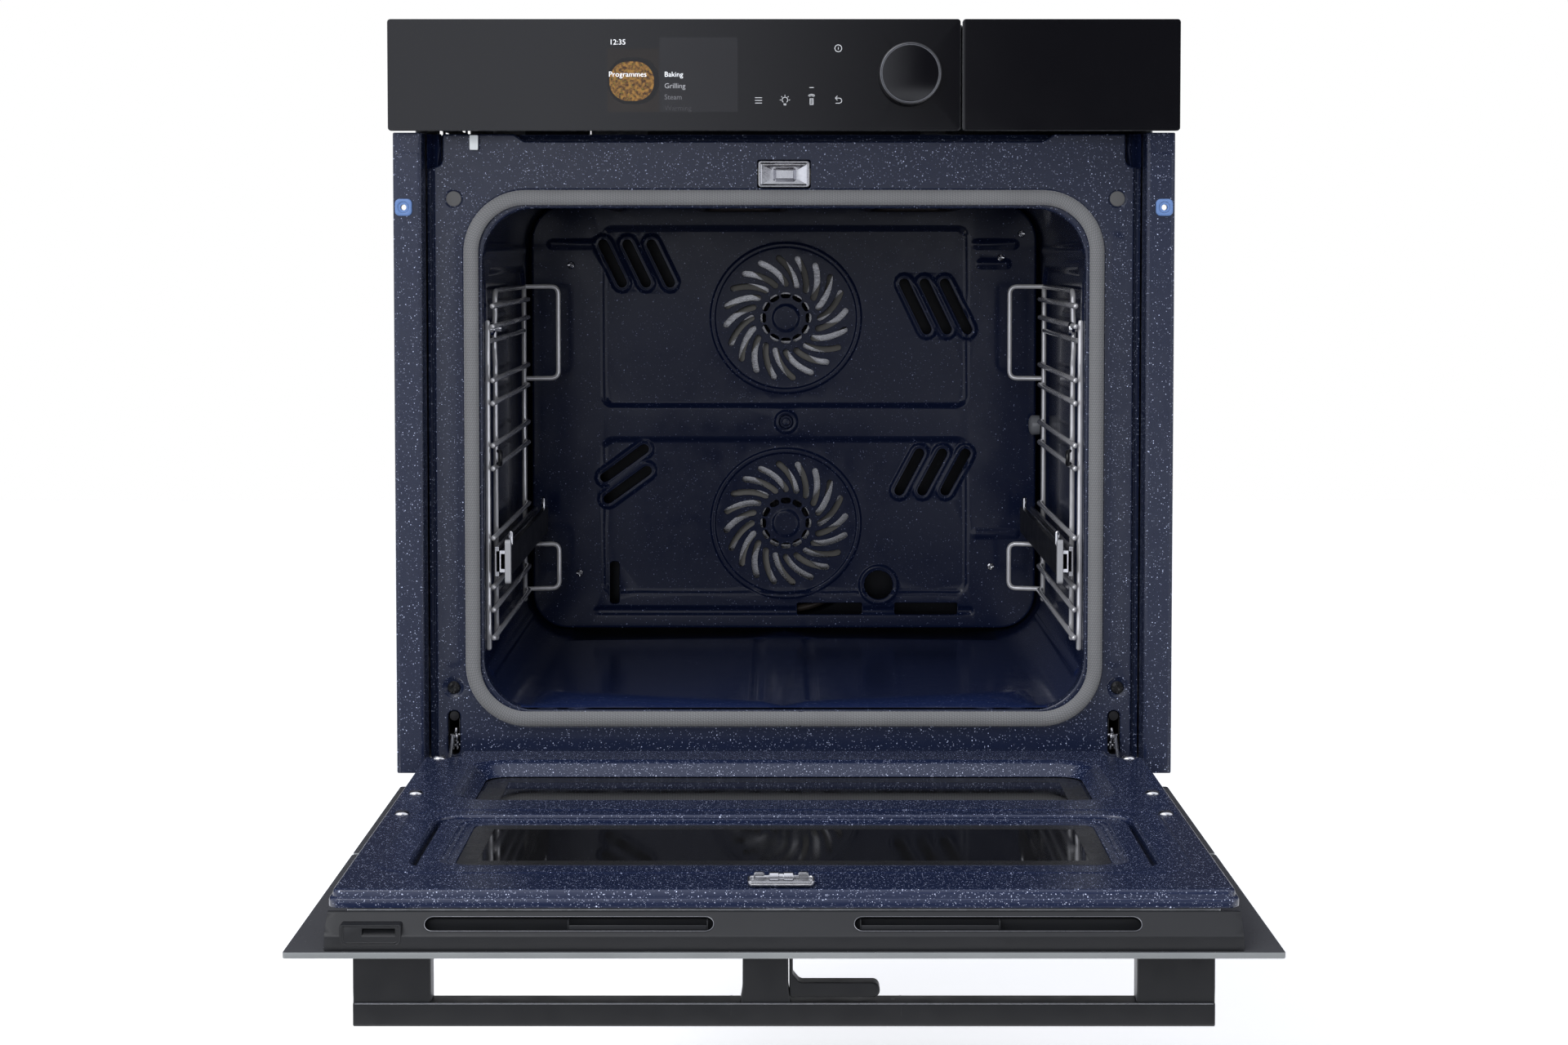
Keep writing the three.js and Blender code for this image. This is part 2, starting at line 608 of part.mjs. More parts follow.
// ---- Top door ----
function topDoorPlate() {
  const { x, near, far } = UPPER_OPENING;
  const [panNear, panFar, panTop] = [-204, -444.5, FRAME.bottom - 0.5];
  const rect = (inset, z0, z1) => lying(polygon([
    [-DOOR_PAN.x + inset, panFar + inset], [DOOR_PAN.x - inset, panFar + inset],
    [DOOR_PAN.x - inset, panNear - inset], [-DOOR_PAN.x + inset, panNear - inset],
  ]), z0, z1);
  const pan = cut(rect(0, DOOR_PAN.bottom, panTop), rect(1.5, DOOR_PAN.bottom - 1, panTop - 1.5));
  const plugShape = (inset) => roundedRect(
    -x + 2.6 + inset, x - 2.6 - inset, far + 2.8 + inset, near - 2 - inset, 12);
  const plug = cut(
    lying(plugShape(0), panTop - 1.5, 15.8),
    lying(plugShape(1.5), panTop - 3, 14.3),
  );
  const openPan = cut(pan, lying(plugShape(1.5), panTop - 3, panTop + 1));
  const w = UPPER_WINDOW;
  const window = lying(roundedRect(-w.x, w.x, w.far, w.near, 12), -10, 20);
  const latchSlot = block([-12, 8.5], [-446, -433], [2.5, 8]);
  return cut(join(openPan, plug), window, latchSlot);
}

function upperWindow() {
  const { x, near, far } = UPPER_WINDOW;
  return lying(roundedRect(-x - 7, x + 7, far - 7, near + 7, 14), 9.8, 14);
}

// Cap along the door's top edge: a face, a slope with two air slots and a bracket for the sensor tab.
function topTrim() {
  const outline = polygon([
    [-462.3, -14.5], [-445.2, -14.5], [-445.2, 5.6], [-448, 5.9], [-462.3, -5.7],
  ].reverse());
  const inner = polygon([
    [-460.3, -16], [-447, -16], [-447, 3.6], [-460.3, -7.2],
  ].reverse());
  const body = cut(across(outline, -273, 273), across(inner, -271, 271));
  const slots = [[-214, -42], [42, 213]].map((span) => cut(
    block(span, [-459, -449.5], [-8, 12]),
    block([-300, 300], [-470, -440], [-30, -9]),
  ));
  const bracket = block([-263.7, -227], [-461.5, -450], [-11, 0.5]);
  const pocket = block([-250.5, -230.7], [-470, -452], [-8, -1.5]);
  return cut(join(cut(body, slots), bracket), pocket);
}

function handleBar() {
  const { x, far, near, bottom, top } = BAR;
  const bar = across(roundedRect(far, near, bottom, top, 1.2), -x, x, 2);
  const posts = [[-x, -213.4], [-25, 2.6], [213.4, x]].map((span) => block(
    span, [far + 1, near - 1], [top - 1, GLASS.bottom - GAP]));
  return join(bar, posts);
}

// L-shaped release lever: a leg beside the middle post and a finger arm above the bar.
function handleLever() {
  const leg = block([3.2, 5.2], [BAR.far + 3, BAR.near - 3], [-50.8, GLASS.bottom - 2.2]);
  const arm = facing(roundedRect(3.2, 58, -50.8, -41.8, 3.5), BAR.far + 3, BAR.near - 3, 4);
  return join(leg, arm);
}

// Latch that reaches out under the frame's lip; the lever draws it down.
function latchHook() {
  const span = [-11, 7.5];
  return join(
    block(span, [-444.2, -437], [5.4, 6.8]),
    block(span, [-438.4, -437], [-2, 6]),
    block(span, [-438.4, -428], [-2, -0.5]),
  );
}

// ---- Assembly ----
add('base_plate', basePlate(), 'galvanised');
add('outer_wrap', outerWrap(), 'galvanised');
add('rear_cover', rearCover(), 'galvanised');
add('front_plate', frontPlate(), 'enamel');
add('door_gasket', doorGasket(), 'gasket');
add('door_keeper', doorKeeper(), 'steel');
add('door_sensor_tab', sensorTab(), 'whitePlastic');
add('cavity_liner', cavityLiner(), 'cavityEnamel');
add('rear_baffle', rearBaffle(), 'cavityEnamel');
add('insulation_jacket', insulationJacket(), 'insulation');
add('grill_element', serpentine(438.5, 150, 120, 440, 5), 'element');
add('bottom_element', serpentine(38, 150, 110, 450, 5), 'element');

for (const [place, z] of [['upper', FANS.upper], ['lower', FANS.lower]]) {
  add(`fan_impeller_${place}`, fanImpeller(z), 'steel');
  add(`ring_heater_${place}`, ringHeater(z), 'element');
  add(`fan_motor_${place}`, fanMotor(z), 'galvanised');
}

for (const [side, place] of [['left', mirrored], ['right', (body) => body]]) {
  add(`side_trim_${side}`, place(sideTrim()), 'enamel');
  add(`hinge_receiver_${side}`, place(hingeReceiver()), 'plastic');
  add(`hinge_arm_${side}`, place(hingeArm()), 'steel');
  add(`hinge_leaf_${side}`, place(hingeLeaf()), 'steel');
  add(`flex_hinge_${side}`, place(flexHinge()), 'plastic');
  add(`side_rack_${side}`, place(sideRack()), 'chrome');
  add(`rack_posts_${side}`, place(rackPosts()), 'chrome');
  add(`rail_fixed_${side}`, place(railMember(222, 225.4, RAIL.height)), 'chrome');
  add(`rail_middle_${side}`, place(railMember(217.4, 221.6, RAIL.height - 6)), 'steel');
  add(`rail_inner_${side}`, place(innerRail()), 'chrome');
}

add('panel_glass', panelGlass(), 'blackGlass');
add('panel_chassis', panelChassis(), 'plastic');
add('display_module', displayModule(), 'screen');
add('knob', knob(), 'handle');
add('knob_shaft', knobShaft(), 'steel');
add('drawer_front', drawerFront(), 'blackGlass');
add('tank_housing', tankHousing(), 'plastic');
add('water_tank', waterTank(), 'whitePlastic');
add('blower_housing', blowerHousing(), 'galvanised');
add('blower_wheel', blowerWheel(), 'plastic');
add('mains_terminal', mainsTerminal(), 'plastic');

add('door_frame', doorFrame(), 'enamel');
add('outer_glass_lower', outerGlass(DOOR_SPLIT + GLASS.split / 2, GLASS.near), 'blackGlass');
add('lower_window', lowerWindow(), 'clearGlass');
add('door_catch', doorCatch(), 'steel');
add('outer_glass_upper', outerGlass(GLASS.far, DOOR_SPLIT - GLASS.split / 2), 'blackGlass');
add('top_door_plate', topDoorPlate(), 'enamel');
add('upper_window', upperWindow(), 'clearGlass');
add('top_trim', topTrim(), 'darkTrim');
add('handle_bar', handleBar(), 'handle');
add('handle_lever', handleLever(), 'handle');
add('latch_hook', latchHook(), 'steel');

export default oven;
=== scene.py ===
"""Looks for a built-in oven with a split door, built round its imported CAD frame.

Positions are written in millimetres in the frame's own axes (+X right, +Y back, +Z up) and
become metres when a mesh is made. A depth is counted back from the control panel's front.
"""

import json
import math
import random

import bmesh
import bpy
import numpy as np
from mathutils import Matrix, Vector
from mathutils.geometry import delaunay_2d_cdt


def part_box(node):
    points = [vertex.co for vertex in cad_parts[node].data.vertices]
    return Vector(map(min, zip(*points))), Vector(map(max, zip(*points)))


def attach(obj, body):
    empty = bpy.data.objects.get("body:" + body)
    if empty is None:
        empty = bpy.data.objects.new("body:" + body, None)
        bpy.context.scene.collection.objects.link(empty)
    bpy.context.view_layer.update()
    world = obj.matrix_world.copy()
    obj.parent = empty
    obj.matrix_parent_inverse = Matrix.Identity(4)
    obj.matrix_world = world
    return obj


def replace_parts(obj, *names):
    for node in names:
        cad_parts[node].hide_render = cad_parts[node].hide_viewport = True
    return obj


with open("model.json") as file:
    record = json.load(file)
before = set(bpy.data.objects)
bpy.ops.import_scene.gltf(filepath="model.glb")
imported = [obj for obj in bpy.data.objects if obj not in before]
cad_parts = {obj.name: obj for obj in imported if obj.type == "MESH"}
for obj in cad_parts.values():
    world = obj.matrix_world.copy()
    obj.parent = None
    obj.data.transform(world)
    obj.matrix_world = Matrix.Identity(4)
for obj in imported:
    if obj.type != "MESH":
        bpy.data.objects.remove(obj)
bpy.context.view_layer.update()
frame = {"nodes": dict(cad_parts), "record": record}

MM = 0.001
SIDES = (("left", -1), ("right", 1))
SMALLEST_RADIUS = 0.02
THIN_TRIANGLE = 4e-3
TRIM_SCREW_X, TRIM_SCREW_Z = 288.3, 433
PLATE_SCREW_X, PLATE_SCREW_Z = 257, 62
PLUG_X, PLUG_Z = 254.9, 440
FITTINGS_SHIFT = 1.2
TRIM_TOP = 489.6


def span(node):
    """Lowest and highest corner of a CAD node, in millimetres."""
    low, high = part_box(node)
    return low / MM, high / MM


# ---- Places, read from the frame, with the knob's centre given as numbers ----
PANEL_LOW, PANEL_HIGH = span("panel_glass")
DRAWER_LOW, DRAWER_HIGH = span("drawer_front")
PLATE_LOW, PLATE_HIGH = span("front_plate")
BAFFLE_LOW, BAFFLE_HIGH = span("rear_baffle")
BAR_LOW = span("handle_bar")[0]
WRAP_TOP = span("outer_wrap")[1].z
REAR_LOW, REAR_HIGH = span("rear_cover")
KNOB_LOW, KNOB_HIGH = span("knob")
KNOB_X, KNOB_Z = 94.1, 532.1
FAN_LOW = {place: span(f"fan_impeller_{place}") for place in ("upper", "lower")}


def deep(depth):
    """Y of a depth behind the control panel's front."""
    return PANEL_LOW.y + depth


# ---- Flat outlines ----
class Outline:
    """A closed polygon with a corner radius at each point, anticlockwise."""

    def __init__(self, points, radii, arc=6, step=25.0):
        self.points = [Vector(p) for p in points]
        self.radii = [radii] * len(points) if isinstance(radii, (int, float)) else list(radii)
        self.arc = arc
        self.step = step

    def corners(self, grow):
        """The polygon's corners, moved out by grow."""
        moved = []
        count = len(self.points)
        for i, here in enumerate(self.points):
            before = (here - self.points[i - 1]).normalized()
            after = (self.points[(i + 1) % count] - here).normalized()
            out_a, out_b = Vector((before.y, -before.x)), Vector((after.y, -after.x))
            moved.append(here + (out_a + out_b) * grow / (1 + out_a.dot(out_b)))
        return moved

    def bend_at(self, moved, i, grow):
        """Both directions away from corner i, the radius of its arc and half its angle."""
        here = moved[i]
        to_last = (moved[i - 1] - here).normalized()
        to_next = (moved[(i + 1) % len(moved)] - here).normalized()
        convex = to_next.cross(to_last) > 0
        radius = max(self.radii[i] + (grow if convex else -grow), SMALLEST_RADIUS)
        half = math.acos(max(-1.0, min(1.0, to_last.dot(to_next)))) / 2
        return to_last, to_next, radius, half

    def contour(self, grow=0.0):
        """Points of the outline grown by a distance. Their number doesn't depend on grow."""
        moved = self.corners(grow)
        count = len(moved)
        ring = []
        for i, here in enumerate(moved):
            to_last, to_next, radius, half = self.bend_at(moved, i, grow)
            reach = radius / math.tan(half)
            centre = here + (to_last + to_next).normalized() * radius / math.sin(half)
            first, last = here + to_last * reach - centre, here + to_next * reach - centre
            turn = first.angle_signed(last)
            for k in range(self.arc + 1):
                a = -turn * k / self.arc
                spoke = Vector((first.x * math.cos(a) - first.y * math.sin(a),
                                first.x * math.sin(a) + first.y * math.cos(a)))
                ring.append(centre + spoke)
            length = (self.points[(i + 1) % count] - self.points[i]).length
            pieces = max(1, int(length / self.step))
            start = ring[-1]
            end_reach = self.start_of(moved, (i + 1) % count, grow)
            for k in range(1, pieces):
                ring.append(start.lerp(end_reach, k / pieces))
        return ring

    def start_of(self, moved, i, grow):
        """Where the arc of corner i starts."""
        to_last, _, radius, half = self.bend_at(moved, i, grow)
        return moved[i] + to_last * radius / math.tan(half)


def box2(x0, x1, z0, z1, radius, arc=6, step=25.0):
    """Rounded rectangle."""
    return Outline([(x0, z0), (x1, z0), (x1, z1), (x0, z1)], radius, arc, step)


class Disc:
    """A circle."""

    def __init__(self, x, z, radius, steps=36):
        self.centre, self.radius, self.steps = Vector((x, z)), radius, steps

    def contour(self, grow=0.0):
        turns = [2 * math.pi * k / self.steps for k in range(self.steps)]
        reach = max(self.radius + grow, SMALLEST_RADIUS)
        return [self.centre + Vector((math.cos(a), math.sin(a))) * reach for a in turns]


class Stroke:
    """A line with round ends, drawn with a round pen."""

    def __init__(self, points, radius, cap=5):
        self.points, self.radius, self.cap = [Vector(p) for p in points], radius, cap

    def contour(self, grow=0.0):
        reach = max(self.radius + grow, SMALLEST_RADIUS)
        forward = self.side(self.points, reach)
        back = self.side(self.points[::-1], reach)
        return forward + back

    def side(self, points, reach):
        """The right-hand side of the line and the half circle round its end."""
        ring = []
        for i, here in enumerate(points):
            ahead = points[min(i + 1, len(points) - 1)] - points[max(i - 1, 0)]
            ahead.normalize()
            ring.append(here + Vector((ahead.y, -ahead.x)) * reach)
        start = math.atan2(-ahead.x, ahead.y)
        for k in range(1, self.cap):
            a = start + math.pi * k / self.cap
            ring.append(points[-1] + Vector((math.cos(a), math.sin(a))) * reach)
        return ring


def signed_distance(shape, points):
    """Distance of each point to a shape's edge, below 0 inside."""
    ring = np.array([tuple(p) for p in shape.contour()], float)
    ahead = np.roll(ring, -1, axis=0)
    edge = ahead - ring
    to = points[:, None, :] - ring[None]
    share = np.clip((to * edge).sum(2) / np.maximum((edge * edge).sum(1), 1e-12), 0, 1)
    nearest = np.sqrt((((to - share[..., None] * edge) ** 2).sum(2)).min(1))
    x, z = points[:, 0:1], points[:, 1:2]
    crosses = (ring[:, 1] > z) != (ahead[:, 1] > z)
    rise = np.where(np.abs(edge[:, 1]) < 1e-12, 1e-12, edge[:, 1])
    left = x < ring[:, 0] + (z - ring[:, 1]) * edge[:, 0] / rise
    inside = (crosses & left).sum(1) % 2 == 1
    return np.where(inside, -nearest, nearest)


def relief_at(reliefs, points):
    """Height that the pressed shapes give each point: (shape, [(distance, height), ...])."""
    total = np.zeros(len(points))
    for shape, profile in reliefs:
        gap = signed_distance(shape, points)
        stops, heights = zip(*profile)
        i = np.clip(np.searchsorted(stops, gap) - 1, 0, len(stops) - 2)
        low, high = np.array(stops)[i], np.array(stops)[i + 1]
        t = np.clip((gap - low) / (high - low), 0, 1)
        t = t * t * (3 - 2 * t)
        total += np.array(heights)[i] * (1 - t) + np.array(heights)[i + 1] * t
    return total


# ---- Meshes ----
def finish_mesh(name, bm, body, material, sharp=38, closed=True):
    """Turns a bmesh in millimetres into a piece that rides on a body."""
    bmesh.ops.remove_doubles(bm, verts=bm.verts, dist=0.004)
    bmesh.ops.dissolve_degenerate(bm, edges=bm.edges, dist=0.002)
    if closed:
        bmesh.ops.recalc_face_normals(bm, faces=bm.faces)
    bmesh.ops.scale(bm, verts=bm.verts, vec=(MM, MM, MM))
    mesh = bpy.data.meshes.new(name)
    bm.to_mesh(mesh)
    bm.free()
    for polygon in mesh.polygons:
        polygon.use_smooth = True
    mesh.set_sharp_from_angle(angle=math.radians(sharp))
    piece = bpy.data.objects.new(name, mesh)
    bpy.context.scene.collection.objects.link(piece)
    mesh.materials.append(material)
    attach(piece, body)
    return piece


def bridge(bm, rings, loop=True):
    """Joins rings of vertices with quads."""
    for first, second in zip(rings, rings[1:]):
        count = len(first)
        for i in range(count if loop else count - 1):
            j = (i + 1) % count
            bm.faces.new((first[i], first[j], second[j], second[i]))


def loft_into(bm, rings, loop=True, capped=True):
    made = [[bm.verts.new(p) for p in ring] for ring in rings]
    bridge(bm, made, loop)
    if capped:
        bm.faces.new(made[0][::-1])
        bm.faces.new(made[-1])
    return made


def loft(name, body, material, rings, sharp=38):
    """A closed body through rings that have the same number of points."""
    bm = bmesh.new()
    loft_into(bm, rings)
    return finish_mesh(name, bm, body, material, sharp)


def handed(place):
    """+1 if the outline's u, v and height make a right-handed set in space, else -1."""
    origin, u, v, h = (Vector(place(*p)) for p in ((5, 5, 0), (5.1, 5, 0), (5, 5.1, 0), (5, 5, 0.1)))
    return 1 if (u - origin).cross(v - origin).dot(h - origin) > 0 else -1


def fill(bm, loops, place, keep, reliefs=(), creases=(), extra=(), turned_over=False, thin=0.0):
    """Fills the region between closed loops with triangles that follow the pressed shapes.

    Triangles flatter than thin are left out: pressing or rolling the sheet would stretch them into webs.
    """
    points, edges = [], []
    contours = list(loops)
    for shape, profile in reliefs:
        stops = [s for s, _ in profile]
        for a, b in zip(stops, stops[1:]):
            contours += [shape.contour(a + (b - a) * t) for t in (0, 0.25, 0.5, 0.75)]
        contours.append(shape.contour(stops[-1]))
    for ring in contours:
        start = len(points)
        points += [Vector(p) for p in ring]
        edges += [(start + i, start + (i + 1) % len(ring)) for i in range(len(ring))]
    for line in creases:
        start = len(points)
        points += [Vector(p) for p in line]
        edges += [(start + i, start + i + 1) for i in range(len(line) - 1)]
    points += [Vector(p) for p in extra]
    flat, _, faces, *_ = delaunay_2d_cdt(points, edges, [], 0, 1e-4)
    table = np.array([tuple(p) for p in flat], float)
    corners = table[np.array([f[:3] for f in faces])]
    sides = np.roll(corners, -1, 1) - corners
    area = np.abs(sides[:, 0, 0] * sides[:, 1, 1] - sides[:, 0, 1] * sides[:, 1, 0])
    kept = keep(corners.mean(1)) & (area >= thin * np.linalg.norm(sides, axis=2).max(1))
    heights = relief_at(reliefs, table)
    made = {}
    for face, ok in zip(faces, kept):
        if not ok:
            continue
        corners = []
        for i in face[::-1] if turned_over else face:
            if i not in made:
                made[i] = bm.verts.new(place(table[i][0], table[i][1], heights[i]))
            corners.append(made[i])
        bm.faces.new(corners)


def pressed(name, body, material, outer, place, border=((0, 0),), holes=(), reliefs=(),
            creases=(), extra=(), thickness=1.0, sharp=38):
    """Sheet metal: an outline with a rolled border, holes with rolled rims and pressed shapes.

    border and each hole's rim are (distance from the edge, height) steps that end at height 0.
    """
    bm = bmesh.new()
    inner_loops = []
    over = handed(place) < 0
    for shape, steps, sign in [(outer, border, -1)] + [(s, r, 1) for s, r in holes]:
        rings = []
        for reach, height in steps:
            ring = shape.contour(sign * reach)
            lift = relief_at(reliefs, np.array([tuple(p) for p in ring], float))
            row = [bm.verts.new(place(p.x, p.y, height + h)) for p, h in zip(ring, lift)]
            rings.append(row[::-1] if (sign > 0) != over else row)
        bridge(bm, rings)
        inner_loops.append(shape.contour(sign * steps[-1][0]))

    def keep(centres):
        ok = signed_distance(outer, centres) < -border[-1][0] + 1e-3
        for shape, rim in holes:
            ok &= signed_distance(shape, centres) > rim[-1][0] - 1e-3
        return ok

    fill(bm, inner_loops, place, keep, reliefs, creases, extra, over, THIN_TRIANGLE)
    piece = finish_mesh(name, bm, body, material, sharp, closed=False)
    if thickness:
        solid = piece.modifiers.new("thickness", "SOLIDIFY")
        solid.thickness = thickness * MM
        solid.offset = -1
    weigh(piece)
    return piece


def weigh(piece):
    """Shades by the larger faces, so that flats stay flat beside rounded edges."""
    even = piece.modifiers.new("even", "WEIGHTED_NORMAL")
    even.keep_sharp = True


def slab(name, body, material, outer, place, low, high, bevel=0.6, holes=(), sharp=38):
    """A flat body between two heights with rounded edges and holes."""
    bm = bmesh.new()
    steps = [(bevel, low), (bevel * 0.3, low + bevel * 0.3), (0, low + bevel), (0, high - bevel),
             (bevel * 0.3, high - bevel * 0.3), (bevel, high)]
    for shape, sign in [(outer, -1)] + [(s, 1) for s in holes]:
        rings = []
        for reach, height in steps:
            rings.append([bm.verts.new(place(p.x, p.y, height)) for p in shape.contour(sign * reach)])
        bridge(bm, rings)

    def keep(centres):
        ok = signed_distance(outer, centres) < -bevel + 1e-3
        for shape in holes:
            ok &= signed_distance(shape, centres) > bevel - 1e-3
        return ok

    loops = [outer.contour(-bevel)] + [s.contour(bevel) for s in holes]
    for height in (low, high):
        fill(bm, loops, lambda u, v, h, z=height: place(u, v, z), keep)
    piece = finish_mesh(name, bm, body, material, sharp)
    weigh(piece)
    return piece


def paint(piece, look, test):
    """Gives the faces whose centre (mm) and normal pass the test another material."""
    mesh = piece.data
    mesh.materials.append(look)
    for polygon in mesh.polygons:
        if test(polygon.center / MM, polygon.normal):
            polygon.material_index = len(mesh.materials) - 1


# How a flat outline lies in space: (u, v, height) to (x, y, z).
def facing(depth):
    """Outline in x and z, height towards the person in front."""
    return lambda u, v, h: (u, deep(depth) - h, v)


def lying(z):
    """Outline in x and y, height upwards."""
    return lambda u, v, h: (u, v, z + h)


def behind(y):
    """Outline in x and z, height towards the back."""
    return lambda u, v, h: (u, y + h, v)


def beside(x, sign):
    """Outline in y and z, height away from the middle on the side that sign gives."""
    return lambda u, v, h: (x + sign * h, u, v)


def bend(points, radius, steps=5):
    """A path with its corners rounded."""
    path = [Vector(points[0])]
    for before, here, after in zip(points, points[1:], points[2:]):
        here = Vector(here)
        back, ahead = Vector(before) - here, Vector(after) - here
        reach = min(radius, back.length * 0.49, ahead.length * 0.49)
        start, end = here + back.normalized() * reach, here + ahead.normalized() * reach
        for k in range(steps + 1):
            t = k / steps
            path.append(start.lerp(here, t).lerp(here.lerp(end, t), t))
    path.append(Vector(points[-1]))
    return path


def frames(path, closed):
    """A pair of cross directions at each point of a path, with no twist."""
    count = len(path)
    ahead = []
    for i in range(count):
        a = path[i - 1] if closed or i else path[i]
        b = path[(i + 1) % count] if closed or i < count - 1 else path[i]
        ahead.append((b - a).normalized())
    across = ahead[0].orthogonal().normalized()
    made = []
    for direction in ahead:
        across = (across - direction * across.dot(direction)).normalized()
        made.append((across.copy(), direction.cross(across)))
    return made


def tube_rings(path, radius, sides, closed=False):
    rings = []
    for here, (across, up) in zip(path, frames(path, closed)):
        turns = [2 * math.pi * k / sides for k in range(sides)]
        rings.append([here + (across * math.cos(a) + up * math.sin(a)) * radius for a in turns])
    return rings


def tubes(name, body, material, paths, radius, sides=12):
    """Round wires with domed ends, one after another in one piece."""
    bm = bmesh.new()
    for path in paths:
        path = [Vector(p) for p in path]
        rings = tube_rings(path, radius, sides)
        for end, inner in ((0, 1), (-1, -2)):
            out = (path[end] - path[inner]).normalized()
            dome = [[path[end] + (p - path[end]) * math.cos(a) + out * radius * math.sin(a)
                     for p in rings[end]] for a in (0.5, 1.0, 1.35)]
            rings = dome[::-1] + rings if end == 0 else rings + dome
        loft_into(bm, rings)
    return finish_mesh(name, bm, body, material, 60)


def turned(name, body, material, centre, profile, axis="y", steps=48, sharp=38):
    """A body of revolution from (radius, place along the axis) points, both ends on the axis."""
    rings = []
    for radius, along in profile:
        ring = []
        for k in range(steps):
            a = 2 * math.pi * k / steps
            c, s = max(radius, 0.01) * math.cos(a), max(radius, 0.01) * math.sin(a)
            offset = {"y": (c, along, s), "z": (c, s, along), "x": (along, c, s)}[axis]
            ring.append(Vector(centre) + Vector(offset))
        rings.append(ring)
    return loft(name, body, material, rings, sharp)


def block_into(bm, low, high, bevel):
    """A bevelled block, added to a bmesh."""
    low, high = Vector(low), Vector(high)
    made = bmesh.ops.create_cube(bm, size=1)["verts"]
    centre, size = (low + high) / 2, high - low
    for vert in made:
        vert.co = centre + Vector((vert.co.x * size.x, vert.co.y * size.y, vert.co.z * size.z))
    edges = {edge for vert in made for edge in vert.link_edges}
    bmesh.ops.bevel(bm, geom=list(edges), offset=bevel, segments=3, profile=0.5, affect="EDGES",
                    clamp_overlap=True)


def blocks(name, body, material, boxes, bevel=0.5, sharp=38):
    """Bevelled blocks from (low corner, high corner) pairs, in one piece."""
    bm = bmesh.new()
    for low, high in boxes:
        block_into(bm, low, high, bevel)
    return finish_mesh(name, bm, body, material, sharp)


def swept(name, body, material, profile, path_low, path_high, axis, sharp=38):
    """A closed profile drawn along one axis between two places."""
    place = {"x": lambda a, u, v: (a, u, v), "y": lambda a, u, v: (u, a, v),
             "z": lambda a, u, v: (u, v, a)}[axis]
    rings = [[place(a, p.x, p.y) for p in profile.contour(-inset)]
             for a, inset in ((path_low, 0.5), (path_low + 0.5, 0), (path_high - 0.5, 0),
                              (path_high, 0.5))]
    return loft(name, body, material, rings, sharp)


# ---- Materials ----
class Graph:
    """Short names for building a material's nodes. Everything is placed by the mesh's own metres."""

    def __init__(self, name, **values):
        self.material = bpy.data.materials.new(name)
        self.material.use_nodes = True
        self.tree = self.material.node_tree
        self.shader = self.tree.nodes["Principled BSDF"]
        for key, value in values.items():
            self.set(key.replace("_", " "), value)
        self.place = self.tree.nodes.new("ShaderNodeTexCoord").outputs["Object"]

    def set(self, socket, value):
        target = self.shader.inputs[socket]
        if isinstance(value, bpy.types.NodeSocket):
            self.tree.links.new(value, target)
        else:
            target.default_value = value

    def node(self, kind, inputs=(), **settings):
        made = self.tree.nodes.new(kind)
        for key, value in settings.items():
            setattr(made, key, value)
        for key, value in dict(inputs).items():
            if isinstance(value, bpy.types.NodeSocket):
                self.tree.links.new(value, made.inputs[key])
            else:
                made.inputs[key].default_value = value
        return made

    def math(self, operation, a, b=0.0):
        return self.node("ShaderNodeMath", {0: a, 1: b}, operation=operation).outputs[0]

    def scaled(self, x=1, y=1, z=1, turn=(0, 0, 0)):
        return self.node("ShaderNodeMapping", {"Vector": self.place, "Scale": (x, y, z),
                                               "Rotation": turn}).outputs[0]

    def noise(self, scale, detail=3, where=None, rough=0.5):
        inputs = {"Vector": where or self.place, "Scale": scale, "Detail": detail,
                  "Roughness": rough}
        return self.node("ShaderNodeTexNoise", inputs).outputs["Fac"]

    def cells(self, scale, where=None):
        made = self.node("ShaderNodeTexVoronoi", {"Vector": where or self.place, "Scale": scale})
        return made.outputs["Distance"], made.outputs["Color"]

    def spread(self, value, low, high, to_low=0.0, to_high=1.0, smooth=False):
        kind = "SMOOTHSTEP" if smooth else "LINEAR"
        return self.node("ShaderNodeMapRange", {
            "Value": value, "From Min": low, "From Max": high, "To Min": to_low,
            "To Max": to_high}, interpolation_type=kind).outputs[0]

    def mix(self, share, a, b):
        inputs = {"Factor": share, "A": a, "B": b}
        made = self.tree.nodes.new("ShaderNodeMix")
        made.data_type = "RGBA"
        for socket in made.inputs:
            if socket.enabled and socket.name in inputs:
                value = inputs[socket.name]
                if isinstance(value, bpy.types.NodeSocket):
                    self.tree.links.new(value, socket)
                else:
                    socket.default_value = value
        return next(s for s in made.outputs if s.enabled)

    def bump(self, height, depth, strength=1.0):
        """Bump of a height that goes from 0 to 1, depth in millimetres."""
        made = self.node("ShaderNodeBump", {"Height": height, "Distance": depth * MM,
                                            "Strength": strength})
        self.set("Normal", made.outputs[0])


def srgb(r, g, b):
    """Screen colour to the linear colour that materials use."""
    def linear(c):
        c /= 255
        return c / 12.92 if c <= 0.04045 else ((c + 0.055) / 1.055) ** 2.4
    return (linear(r), linear(g), linear(b), 1.0)


def channel(g, colour, which):
    made = g.node("ShaderNodeSeparateColor", {0: colour})
    return made.outputs[which]


